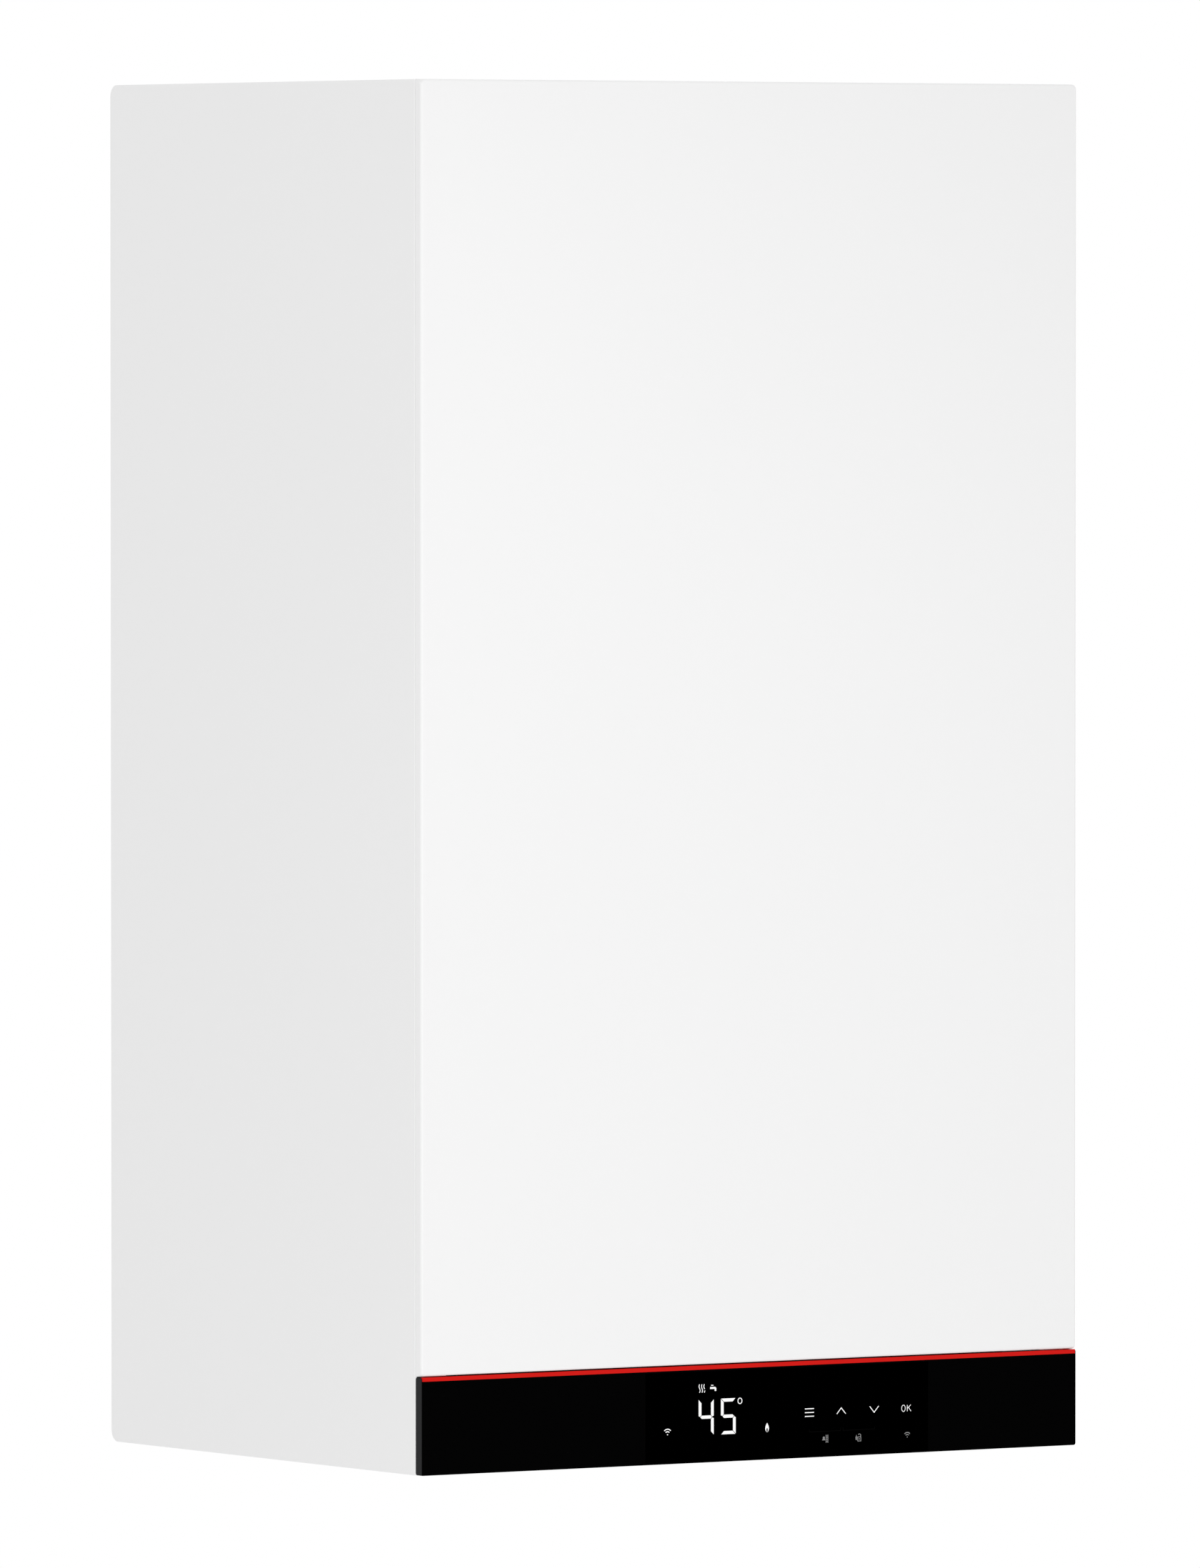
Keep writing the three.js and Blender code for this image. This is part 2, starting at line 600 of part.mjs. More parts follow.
// A folded pan whose top runs back over the casing and ends in a lip that hooks behind the cross rail.
function coverPan() {
  const topZ = CASING_HEIGHT;
  const extent = [across(HALF), [COVER_BOTTOM, topZ], [FRONT, COVER_BACK]];
  const lower = COVER_EDGE + FIT;
  const corners = [lower, lower, COVER_CORNER, COVER_CORNER];
  const outer = squareBacked(frontPlate(...extent, corners, COVER_EDGE), ...extent, COVER_EDGE);
  const hollow = box(coverInnerX, [coverSkin, COVER_BACK + 1], [COVER_BOTTOM + SHEET, TOP_UNDERSIDE]);
  const topFlange = box(across(INNER_HALF), [COVER_BACK - 1, LIP_BACK], [TOP_UNDERSIDE, topZ]);
  const lip = box(across(INNER_HALF), [LIP_BACK - SHEET, LIP_BACK], [topZ - COVER_LIP, topZ]);
  const reliefX = [-HALF + RELIEF_LEFT_END, HALF - RELIEF_RIGHT_END];
  const relief = box(reliefX, [FRONT - 1, COVER_BACK + 1], [COVER_BOTTOM - 1, COVER_BOTTOM + COVER_RELIEF]);
  const tabs = [-1, 1].map((side) => {
    const x = (side * TAB_SPACING) / 2;
    const tab = box(around(x, TAB_WIDTH), [coverSkin - SHEET / 2, FRONT + TAB_REACH], [TAB_BOTTOM, TAB_BOTTOM + SHEET]);
    return cut(tab, rod("z", [x, SCREW_Y], SCREW_RADIUS + 2 * FIT, [TAB_BOTTOM - 1, TAB_BOTTOM + SHEET + 1]));
  });
  return join(cut(outer, hollow, relief), topFlange, lip, ...tabs);
}

// The gasket closes on the side panels' flanges and on the shelf's front edge.
function coverGasket() {
  const back = CASING_FRONT - FIT;
  const x = SIDE_INNER - FIT;
  const z = [COVER_BOTTOM + SHEET + FIT, TOP_UNDERSIDE - FIT];
  const outer = box(across(x), [coverSkin + FIT, back], z);
  const inner = box(across(x - GASKET_WIDTH), [FRONT, back + 1], [TAB_BOTTOM - FIT, z[1] - GASKET_WIDTH]);
  return cut(outer, inner);
}

function coverInsulation() {
  const x = HALF - INSULATION_MARGIN;
  const z = [TAB_BOTTOM + 2 * SHEET, CASING_HEIGHT - INSULATION_MARGIN];
  return box(across(x), [coverSkin + FIT, coverSkin + FIT + INSULATION_THICKNESS], z);
}

// A captive screw stands up through the shelf into the cover's tab. Its slot is driven from below.
function coverScrew(side) {
  const centre = [(side * TAB_SPACING) / 2, SCREW_Y];
  const headTop = SHELF_TOP - SHEET - FIT;
  const profile = [
    [0, headTop - SCREW_HEAD],
    [SCREW_HEAD_RADIUS, headTop - SCREW_HEAD],
    [SCREW_HEAD_RADIUS, headTop],
    [SCREW_RADIUS, headTop],
    [SCREW_RADIUS, headTop + SCREW_LENGTH - 1],
    [SCREW_RADIUS - 1, headTop + SCREW_LENGTH],
    [0, headTop + SCREW_LENGTH],
  ];
  const slotZ = [headTop - SCREW_HEAD - 1, headTop - SCREW_HEAD / 2];
  const slot = box(around(centre[0], 2 * SCREW_HEAD_RADIUS + 1), around(SCREW_Y, SHEET), slotZ);
  return cut(turned("z", centre, profile, 12), slot);
}

function buildCover() {
  const cover = group();
  piece(cover, "front_cover", coverPan(), "white");
  piece(cover, "cover_gasket", coverGasket(), "rubber");
  piece(cover, "cover_insulation", coverInsulation(), "foam");
  piece(cover, "cover_screw_left", coverScrew(-1), "steel");
  piece(cover, "cover_screw_right", coverScrew(1), "steel");
}

// ---- Control panel ----
const stripBottom = FASCIA_HEIGHT - STRIP_HEIGHT;
const glassX = [GLASS_LEFT, GLASS_RIGHT];

function fascia() {
  const body = frontPlate(across(HALF), [0, FASCIA_HEIGHT], [FRONT, COVER_BACK], 2 * FASCIA_EDGE, FASCIA_EDGE);
  const stripX = across(HALF - FASCIA_EDGE + SEAM / 2);
  const strip = box(stripX, [FRONT - 1, FRONT + STRIP_DEPTH + FIT / 3], [stripBottom - FIT / 3, FASCIA_HEIGHT + 1]);
  const pocketX = [glassX[0] - FIT / 2, glassX[1] + FIT / 2];
  const pocket = box(pocketX, [FRONT - 1, FRONT + GLASS_THICKNESS + FIT / 2], [FIT, stripBottom - 3 * FIT]);
  return cut(body, strip, pocket);
}

function controlHousing() {
  const x = HALF - PANEL_MARGIN;
  const y = [COVER_BACK + FIT, PANEL_BACK];
  const bottom = PIVOT_HEIGHT - PIN_RADIUS - PANEL_WALL - SEAM;
  const top = FASCIA_HEIGHT - PIN_RADIUS;
  const outer = prism("x", roundedRect(y, [bottom, top], [0, 3, 3, 0]), across(x));
  const hollow = box(across(x - PANEL_WALL), [y[0] - 1, y[1] - PANEL_WALL], [bottom + PANEL_WALL, top - PANEL_WALL]);
  const holeX = across(x + 1);
  const pinHole = rod("x", [PIVOT_Y, PIVOT_HEIGHT], PIN_RADIUS + FIT, holeX, 16);
  const posts = [-1, 1].flatMap((side) =>
    [bottom + 10, top - 10].map((z) =>
      rod("y", [side * (x - 25), z], 3, [y[1] - PANEL_WALL - 10, y[1] - PANEL_WALL / 2], 12),
    ),
  );
  const ribs = [-1, 0, 1].map((i) => box(around(i * RIB_SPACING, PANEL_WALL), [y[1] - 1, y[1] + 1.5], [bottom + 5, top - 5]));
  return join(cut(outer, hollow, pinHole), ...posts, ...ribs);
}

// The main board stands on the housing's posts and carries its relays, transformer, capacitors and plugs.
function mainBoard() {
  const back = PANEL_BACK - PANEL_WALL - 10 - FIT;
  const front = back - BOARD_THICKNESS;
  const z = [PIVOT_HEIGHT + 4, FASCIA_HEIGHT - 8];
  let board = box(across(HALF - PANEL_MARGIN - 15), [front, back], z);
  for (const x of RELAY_XS) {
    board = join(board, box(around(x, 14), [front - 12, front + 0.5], [z[0] + 3, z[0] + 17]));
  }
  for (const x of CAPACITOR_XS) {
    board = join(board, rod("y", [x, z[0] + 20], 6, [front - 16, front + 0.5], 12));
  }
  for (let i = 0; i < PLUGS; i++) {
    const x = around(PLUG_FIRST + i * PLUG_PITCH, 15);
    board = join(board, box(x, [front - 10, front + 0.5], [z[1] - 9, z[1] - 1]));
  }
  return join(board, box(TRANSFORMER_X, [front - 18, front + 0.5], [z[0] + 4, z[0] + 24]));
}

function displayBoard() {
  const y = [COVER_BACK + FIT, COVER_BACK + FIT + BOARD_THICKNESS];
  const z = [PIVOT_HEIGHT, FASCIA_HEIGHT - 10];
  const board = box([glassX[0] + 5, glassX[1] - 5], y, z);
  const moduleX = DISPLAY_MODULE.map((x) => glassX[0] + x);
  return join(board, box(moduleX, [y[1] - 0.5, y[1] + 3], [z[0] + 4, z[1] - 4]));
}

function hingePin(side) {
  const x = onSide(side, HALF - PANEL_MARGIN - 8, INNER_HALF);
  return rod("x", [PIVOT_Y, PIVOT_HEIGHT], PIN_RADIUS, x, 16);
}

function buildControlPanel() {
  const panel = group();
  piece(panel, "fascia", fascia(), "black");
  const stripX = across(HALF - FASCIA_EDGE);
  piece(panel, "accent_strip", box(stripX, [FRONT, FRONT + STRIP_DEPTH], [stripBottom, FASCIA_HEIGHT]), "red");
  const glassZ = [1.5 * FIT, stripBottom - 3.5 * FIT];
  piece(panel, "display_glass", box(glassX, [FRONT, FRONT + GLASS_THICKNESS], glassZ), "glass");
  piece(panel, "display_board", displayBoard(), "board");
  piece(panel, "control_housing", controlHousing(), "darkPlastic");
  piece(panel, "main_board", mainBoard(), "board");
  piece(panel, "hinge_pin_left", hingePin(-1), "steel");
  piece(panel, "hinge_pin_right", hingePin(1), "steel");
}

// ---- Heat cell: places are measured from its axis ----
const axisCentre = [0, 0];
const cellY = [-CELL_FRONT, -CELL_BACK];

// A cup open to the front, on four feet, with the flue stub above and the condensate drain below.
function cellHousing() {
  const backWall = -CELL_BACK - CELL_WALL;
  const outer = rod("y", axisCentre, CELL_RADIUS, cellY, ROUND_SIDES);
  const hollow = rod("y", axisCentre, CELL_RADIUS - CELL_WALL, [-CELL_FRONT - 1, backWall], ROUND_SIDES);
  const feet = [-1, 1].flatMap((sx) =>
    [-1, 1].map((sz) =>
      rod("y", [sx * CELL_FOOT_OFFSET, sz * CELL_FOOT_OFFSET], 8, [backWall + 1, REAR_FACE - FIT], 8),
    ),
  );
  const ribs = [-CELL_FRONT + 3, -CELL_BACK - 12].map((y) =>
    ring("y", axisCentre, [CELL_RADIUS - 2, CELL_RADIUS + 2.5], around(y, 6), ROUND_SIDES),
  );
  const stub = rod("z", [0, -FLUE_SETBACK], FLUE_RADIUS, [CELL_RADIUS - 10, FLUE_STUB_TOP]);
  const drain = rod("z", [0, -DRAIN_SETBACK], DRAIN_RADIUS, [-DRAIN_STUB, -CELL_RADIUS + 8], 16);
  const flueBore = rod("z", [0, -FLUE_SETBACK], FLUE_RADIUS - 3, [CELL_RADIUS - 20, FLUE_STUB_TOP + 1]);
  const drainBore = rod("z", [0, -DRAIN_SETBACK], DRAIN_RADIUS - 3, [-DRAIN_STUB - 1, -CELL_RADIUS + 12], 16);
  const legs = [[COIL_RADIUS, -COIL_BACK], [-COIL_RADIUS, -COIL_FRONT]].map((centre) =>
    rod("z", centre, COIL_TUBE + 1, [-COIL_LEG, 0], 10),
  );
  return cut(join(outer, stub, drain, ...ribs, ...feet), hollow, flueBore, drainBore, ...legs);
}

// One tube: up the right-hand leg, round the coil towards the front, and down the left-hand leg.
function coil() {
  const steps = COIL_STEPS * COIL_TURNS;
  const knots = [new THREE.Vector3(COIL_RADIUS, -COIL_BACK, -COIL_LEG)];
  for (let i = 0; i <= steps; i++) {
    const turn = i / COIL_STEPS;
    const angle = turn * 2 * Math.PI;
    const y = -COIL_BACK - turn * COIL_PITCH;
    knots.push(new THREE.Vector3(COIL_RADIUS * Math.cos(angle), y, COIL_RADIUS * Math.sin(angle)));
  }
  knots.push(new THREE.Vector3(-COIL_RADIUS, -COIL_FRONT, -COIL_LEG));
  return tube(knots, COIL_TUBE, 7);
}

const doorInner = DOOR_BACK + FIT;
const burnerTip = DOOR_BACK + BURNER_LENGTH;

// A perforated tube: rows of slots let the flames out all round.
function burner() {
  const wall = 2;
  const shell = rod("y", axisCentre, BURNER_RADIUS, [doorInner, burnerTip]);
  const bore = rod("y", axisCentre, BURNER_RADIUS - wall, [doorInner - 1, burnerTip - wall]);
  let tubeShape = cut(shell, bore);
  for (let row = 0; row < 2; row++) {
    const y = around(doorInner + 45 + row * 36, 16);
    for (let i = 0; i < 3; i++) {
      const slot = new THREE.BoxGeometry(2 * BURNER_RADIUS + 2, y[1] - y[0], 8);
      slot.rotateY((i * Math.PI) / 3);
      tubeShape = cut(tubeShape, solid(slot.translate(0, (y[0] + y[1]) / 2, 0)));
    }
  }
  return tubeShape;
}

const ELECTRODE = [26, -41];

// The door closes the cell. Its boss takes the gas and air mixture from the right.
function burnerDoor() {
  const disc = rod("y", axisCentre, DOOR_RADIUS, [DOOR_FRONT, DOOR_BACK], ROUND_SIDES);
  const rim = ring("y", axisCentre, [DOOR_RADIUS - 8, DOOR_RADIUS], [DOOR_FRONT - DOOR_RIM, DOOR_FRONT + 1]);
  const boss = rod("y", axisCentre, DOOR_BOSS_RADIUS, [DOOR_FRONT - DOOR_BOSS_LENGTH, DOOR_FRONT + 1]);
  let door = join(disc, rim, boss);
  for (let i = 0; i < DOOR_NUTS; i++) {
    const angle = ((i + 0.5) * 2 * Math.PI) / DOOR_NUTS;
    const centre = [DOOR_NUT_CIRCLE * Math.cos(angle), DOOR_NUT_CIRCLE * Math.sin(angle)];
    door = join(door, rod("y", centre, 6.5, [DOOR_FRONT - 6, DOOR_FRONT + 1], 6));
  }
  const inlet = rod("x", [ELBOW_Y, 0], ELBOW_RADIUS - 2, [0, DOOR_BOSS_RADIUS + 1], 16);
  const mixtureBore = rod("y", axisCentre, BURNER_RADIUS - 14, [ELBOW_Y, DOOR_BACK + 1]);
  return cut(door, inlet, mixtureBore, rod("y", ELECTRODE, 6, [DOOR_FRONT - 1, DOOR_BACK + 1], 16));
}

function doorGasket() {
  const radii = [CELL_RADIUS - 12, CELL_RADIUS];
  return ring("y", axisCentre, radii, [-CELL_FRONT - FIT - DOOR_GASKET, -CELL_FRONT - FIT], ROUND_SIDES);
}

function doorInsulation() {
  const radii = [BURNER_RADIUS + FIT, CELL_RADIUS - 14];
  const pad = ring("y", axisCentre, radii, [doorInner, doorInner + DOOR_INSULATION], ROUND_SIDES);
  return cut(pad, rod("y", ELECTRODE, 6, [doorInner - 1, doorInner + DOOR_INSULATION + 1], 16));
}

function electrode() {
  const profile = [
    [0, DOOR_FRONT - 22],
    [3, DOOR_FRONT - 22],
    [5, DOOR_FRONT - 14],
    [5, DOOR_FRONT - FIT - 3],
    [10, DOOR_FRONT - FIT - 3],
    [10, DOOR_FRONT - FIT],
    [5, DOOR_FRONT - FIT],
    [5, DOOR_BACK + DOOR_INSULATION],
    [1.2, DOOR_BACK + DOOR_INSULATION + 2],
    [1.2, DOOR_BACK + DOOR_INSULATION + 26],
    [0, DOOR_BACK + DOOR_INSULATION + 26],
  ];
  return turned("y", ELECTRODE, profile, 12);
}

const ductRadius = FLUE_RADIUS + FIT;
const flueCentre = [0, -FLUE_SETBACK];

// The flue duct slips over the cell's stub and ends inside the socket's inner tube.
function flueDuct() {
  const radii = [ductRadius, ductRadius + 2.5];
  return ring("z", flueCentre, radii, [FLUE_STUB_TOP - 12, CELL_DROP - 12], SIDES);
}

// Two tubes on one axis, joined by three webs: burnt gas inside, fresh air round it. Flush with the top.
function flueSocket() {
  const top = CELL_DROP;
  const innerTube = ring("z", flueCentre, [ductRadius + 2.5 + FIT, ductRadius + 5.5], [top - 30, top - 2], SIDES);
  const outerTube = ring("z", flueCentre, [AIR_RADIUS - 2, AIR_RADIUS], [top - 42, top], SIDES);
  const rim = ring("z", flueCentre, [AIR_RADIUS - 1, AIR_RADIUS + 2 * SHEET], [top - SHEET, top], SIDES);
  const webs = [0, 1, 2].map((i) => {
    const web = new THREE.BoxGeometry(AIR_RADIUS - ductRadius - 4, 2.5, 22);
    web.translate((AIR_RADIUS + ductRadius + 4) / 2, 0, top - 17);
    web.rotateZ((i * 2 * Math.PI) / 3 + Math.PI / 2);
    return solid(web.translate(0, -FLUE_SETBACK, 0));
  });
  return join(innerTube, outerTube, rim, ...webs);
}

function buildHeatCell() {
  const cell = group(0, CELL_Z);
  piece(cell, "heat_cell_housing", cellHousing(), "castAluminium");
  piece(cell, "heat_exchanger_coil", coil(), "steel");
  piece(cell, "burner", burner(), "steel");
  piece(cell, "burner_door", burnerDoor(), "castAluminium");
  piece(cell, "door_gasket", doorGasket(), "foam");
  piece(cell, "door_insulation", doorInsulation(), "ceramic");
  piece(cell, "ignition_electrode", electrode(), "ceramic");
  piece(cell, "flue_duct", flueDuct(), "darkPlastic");
  piece(cell, "flue_socket", flueSocket(), "darkPlastic");
}

// ---- Fan: places are measured from its axis ----
const scrollY = [-FAN_FRONT, FAN_REAR];

// A spiral that widens towards its outlet, which rises on the right.
function scrollOutline(inset) {
  const steps = 22;
  const sweep = (330 * Math.PI) / 180;
  const top = OUTLET_RISE + (inset ? 1 : 0);
  const points = [[SCROLL_MAX - inset, top]];
  for (let i = 0; i <= steps; i++) {
    const angle = (-sweep * i) / steps;
    const radius = SCROLL_MAX - ((SCROLL_MAX - SCROLL_MIN) * i) / steps - inset;
    points.push([radius * Math.cos(angle), radius * Math.sin(angle)]);
  }
  points.push([SCROLL_MAX - OUTLET_WIDTH + inset, top]);
  return points;
}

function fanHousing() {
  const shell = prism("y", scrollOutline(0), scrollY);
  const hollow = prism("y", scrollOutline(SCROLL_WALL), [scrollY[0] + SCROLL_WALL, scrollY[1] - SCROLL_WALL]);
  const eye = rod("y", axisCentre, IMPELLER_EYE, [scrollY[1] - SCROLL_WALL - 1, scrollY[1] + 1]);
  const shaftHole = rod("y", axisCentre, 2 * FAN_SHAFT_RADIUS, [scrollY[0] - 1, scrollY[0] + SCROLL_WALL + 1], 16);
  return cut(shell, hollow, eye, shaftHole);
}

// A swept blade: both faces follow the same spiral from the eye to the rim.
function bladeOutline(index) {
  const steps = 3;
  const thickness = 1.3;
  const base = (index * 2 * Math.PI) / BLADES;
  const face = (k, offset) => {
    const radius = IMPELLER_EYE + ((IMPELLER_RADIUS - 1.5 - IMPELLER_EYE) * k) / steps;
    const angle = base - (BLADE_SWEEP * Math.PI * k) / (180 * steps) + offset / radius;
    return [radius * Math.cos(angle), radius * Math.sin(angle)];
  };
  const leading = Array.from({ length: steps + 1 }, (_, k) => face(k, -thickness / 2));
  const trailing = Array.from({ length: steps + 1 }, (_, k) => face(steps - k, thickness / 2));
  return [...leading, ...trailing];
}

const wheelFront = scrollY[0] + SCROLL_WALL + 3;
const wheelBack = wheelFront + IMPELLER_WIDTH;

function fanImpeller() {
  const disc = rod("y", axisCentre, IMPELLER_RADIUS, [wheelFront, wheelFront + 2]);
  const hub = rod("y", axisCentre, 9, [wheelFront, wheelFront + 14], 16);
  const shaft = rod("y", axisCentre, FAN_SHAFT_RADIUS, [-FAN_FRONT - 8, wheelFront + 1], 12);
  const shroud = ring("y", axisCentre, [IMPELLER_EYE + 6, IMPELLER_RADIUS], [wheelBack - 2, wheelBack]);
  let wheel = join(disc, hub, shaft, shroud);
  for (let i = 0; i < BLADES; i++) {
    wheel = join(wheel, prism("y", bladeOutline(i), [wheelFront + 1, wheelBack - 1]));
  }
  return wheel;
}

function fanMotor() {
  const back = -FAN_FRONT - FIT;
  const front = back - FAN_MOTOR_LENGTH;
  const profile = [
    [0, front],
    [FAN_MOTOR_RADIUS - 6, front],
    [FAN_MOTOR_RADIUS, front + 5],
    [FAN_MOTOR_RADIUS, back],
    [0, back],
  ];
  const socket = rod("y", axisCentre, FAN_SHAFT_RADIUS + FIT, [back - 10, back + 1], 12);
  return cut(turned("y", axisCentre, profile), socket);
}

// The mixer narrows to a throat, where the gas enters from a boss below.
function venturi() {
  const front = FAN_REAR + FIT;
  const back = front + VENTURI_LENGTH;
  const throat = (front + back) / 2;
  const profile = [
    [IMPELLER_EYE - 1, front],
    [VENTURI_RADIUS, front],
    [VENTURI_RADIUS, back - 4],
    [VENTURI_RADIUS - 1.5, back],
    [VENTURI_THROAT, throat],
    [IMPELLER_EYE - 1, front],
  ];
  const boss = rod("z", [0, throat], 9, [-VENTURI_RADIUS - 3, -VENTURI_THROAT - 3], 16);
  return join(turned("y", axisCentre, profile), boss);
}

const throatY = FAN_REAR + FIT + VENTURI_LENGTH / 2;

function buildFan() {
  const fan = group(FAN_OFFSET, FAN_Z);
  piece(fan, "fan_housing", fanHousing(), "castAluminium");
  piece(fan, "fan_impeller", fanImpeller(), "darkPlastic");
  piece(fan, "fan_motor", fanMotor(), "darkPlastic");
  piece(fan, "venturi_mixer", venturi(), "darkPlastic");
}

// ---- Gas and mixture ----
const gasY = [-GAS_VALVE_FRONT, -GAS_VALVE_FRONT + GAS_VALVE_DEPTH];

function gasValve() {
  const x = across(GAS_VALVE_WIDTH / 2);
  const body = prism("y", roundedRect(x, [GAS_VALVE_BOTTOM, GAS_VALVE_TOP - 14], 5), gasY);
  const regulator = rod("z", [-12, -GAS_VALVE_FRONT + 22], 17, [GAS_VALVE_TOP - 15, GAS_VALVE_TOP - 3], 20);
  const coilBlock = box([10, 32], [gasY[0] + 8, gasY[0] + 34], [GAS_VALVE_TOP - 15, GAS_VALVE_TOP - 4]);
  const plug = rod("y", [12, GAS_VALVE_BOTTOM + 18], 8, [gasY[0] - 6, gasY[0] + 1], 16);
  return join(body, regulator, coilBlock, plug);
}

const gasValveY = (gasY[0] + gasY[1]) / 2 + 3;

function gasPipe() {
  const knee = GAS_VALVE_BOTTOM - GAS_KNEE_DROP;
  const corners = [
    [0, -PORT_SETBACK, PORT_END],
    [0, -PORT_SETBACK, knee],
    [0, gasValveY, knee],
    [0, gasValveY, GAS_VALVE_BOTTOM - FIT],
  ];
  const nut = rod("z", [0, -PORT_SETBACK], PORT_RADIUS, [PORT_END, TRAY_HEIGHT + 18], 16);
  const bore = rod("z", [0, -PORT_SETBACK], PORT_BORE, [PORT_END - 1, PORT_END + PORT_BORE_DEPTH], 16);
  return cut(join(bentTube(corners, GAS_PIPE_RADIUS, PIPE_BEND), nut), bore);
}

function gasInjectorPipe() {
  const z = GAS_VALVE_TOP - 32;
  const startX = GAS_VALVE_WIDTH / 2 - 15;
  const corners = [
    [startX, gasY[1] + FIT, z],
    [startX, throatY, z],
    [FAN_OFFSET, throatY, z],
    [FAN_OFFSET, throatY, FAN_Z - VENTURI_RADIUS - 3 - FIT],
  ];
  return bentTube(corners, INJECTOR_PIPE_RADIUS, 9);
}

function mixtureElbow() {
  const start = FAN_Z + OUTLET_RISE + FIT;
  const outletY = (scrollY[0] + scrollY[1]) / 2;
  const corners = [
    [OUTLET_X, outletY, start],
    [OUTLET_X, outletY, start + 52],
    [OUTLET_X, ELBOW_Y, CELL_Z],
    [DOOR_BOSS_RADIUS + FIT, ELBOW_Y, CELL_Z],
  ];
  const flange = box(around(OUTLET_X, OUTLET_WIDTH), [scrollY[0] + 4, scrollY[1] - 4], [start, start + 3]);
  return join(bentTube(corners, ELBOW_RADIUS, 22, 14), flange);
}

function ignitionUnit() {
  const y = [-IGNITION_FRONT, -IGNITION_FRONT + IGNITION_DEPTH];
  const top = CELL_Z - IGNITION_DROP;
  const bottom = top - IGNITION_HEIGHT;
  const body = box([HALF - IGNITION_WIDTH, INNER_HALF], y, [bottom, top]);
  const plugCentre = [HALF - IGNITION_WIDTH / 2, (y[0] + y[1]) / 2];
  return join(body, rod("z", plugCentre, IGNITION_PLUG_RADIUS, [bottom - IGNITION_PLUG, bottom + 1], 12));
}

function buildGas() {
  const gas = group();
  piece(gas, "gas_valve", gasValve(), "castAluminium");
  piece(gas, "gas_pipe", gasPipe(), "steel");
  piece(gas, "gas_injector_pipe", gasInjectorPipe(), "steel");
  piece(gas, "mixture_elbow", mixtureElbow(), "darkPlastic");
  piece(gas, "ignition_unit", ignitionUnit(), "darkPlastic");
}

// ---- Water circuit ----
// A brass block with two connections that reach down through the tray.
function manifold(side) {
  const x = onSide(side, MANIFOLD_INNER, MANIFOLD_OUTER);
  const outline = roundedRect(MANIFOLD_Y, [MANIFOLD_BOTTOM, MANIFOLD_TOP], 6);
  let block = prism("x", outline, x);
  const tools = [];
  for (const offset of [PORT_INNER, PORT_OUTER]) {
    const centre = [side * offset, -PORT_SETBACK];
    const collar = rod("z", centre, PORT_RADIUS + 3, [TRAY_HEIGHT + 8, MANIFOLD_BOTTOM + 1], 6);
    block = join(block, rod("z", centre, PORT_RADIUS, [PORT_END, MANIFOLD_BOTTOM + 1]), collar);
    tools.push(rod("z", centre, PORT_BORE, [PORT_END - 1, PORT_END + PORT_BORE_DEPTH], 16));
  }
  return cut(block, ...tools);
}

const TURBINE_TOP = 36;
const TURBINE_BOTTOM = 22;

// Cold water enters past a small turbine, so its bore runs on above the turbine.
function returnManifold() {
  const centre = [PORT_INNER, -PORT_SETBACK];
  const chamber = rod("z", centre, PORT_BORE, [PORT_END, TURBINE_TOP + 4], 16);
  const bearing = rod("z", centre, 2 + FIT, [TURBINE_TOP, TURBINE_TOP + 12], 12);
  return cut(manifold(1), chamber, bearing);
}

function flowTurbine() {
  const centre = [PORT_INNER, -PORT_SETBACK];
  let wheel = rod("z", centre, 2, [TURBINE_BOTTOM, TURBINE_TOP + 11], 12);
  for (let i = 0; i < 4; i++) {
    const vane = new THREE.BoxGeometry(PORT_BORE - 1.6, 1, TURBINE_TOP - TURBINE_BOTTOM - 4);
    vane.rotateX(0.4);
    vane.translate((PORT_BORE - 1) / 2, 0, (TURBINE_TOP + TURBINE_BOTTOM) / 2);
    vane.rotateZ((i * Math.PI) / 2);
    wheel = join(wheel, solid(vane.translate(centre[0], centre[1], 0)));
  }
  return wheel;
}

// A stack of brazed plates, whose turned-over rims show as ridges, on four port bosses.
function plateExchanger() {
  const back = MANIFOLD_Y[0] - FIT - 4;
  const rim = 2;
  const half = EXCHANGER_WIDTH / 2;
  const right = [];
  for (let i = 0; i < EXCHANGER_PLATES; i++) {
    const y = back - i * PLATE_PITCH;
    right.push([half, y], [half, y - PLATE_PITCH + 1.4], [half - rim, y - PLATE_PITCH + 1.4], [half - rim, y - PLATE_PITCH]);
  }
  const left = right.map(([x, y]) => [-x, y]).reverse();
  const z = [MANIFOLD_BOTTOM + 3, MANIFOLD_BOTTOM + 3 + EXCHANGER_HEIGHT];
  const bosses = [-1, 1].flatMap((side) =>
    [z[0] + 10, MANIFOLD_TOP - 10].map((bossZ) =>
      rod("y", [side * (half - 16), bossZ], 8, [back - 1, MANIFOLD_Y[0] - FIT], 16),
    ),
  );
  return join(prism("z", [...right, ...left], z), ...bosses);
}

const pumpSuctionX = PUMP_OFFSET - SUCTION_OFFSET;
const pumpOutletX = PUMP_OFFSET - OUTLET_OFFSET;
const pumpOutletY = -(PUMP_BACK + PUMP_FRONT) / 2;
const ventX = PUMP_OFFSET + VENT_OFFSET;
const pumpOutletTop = PUMP_HEIGHT + PUMP_RADIUS + PUMP_NECK_RISE;
const pumpVentTop = PUMP_HEIGHT + PUMP_RADIUS + VENT_NECK_RISE;

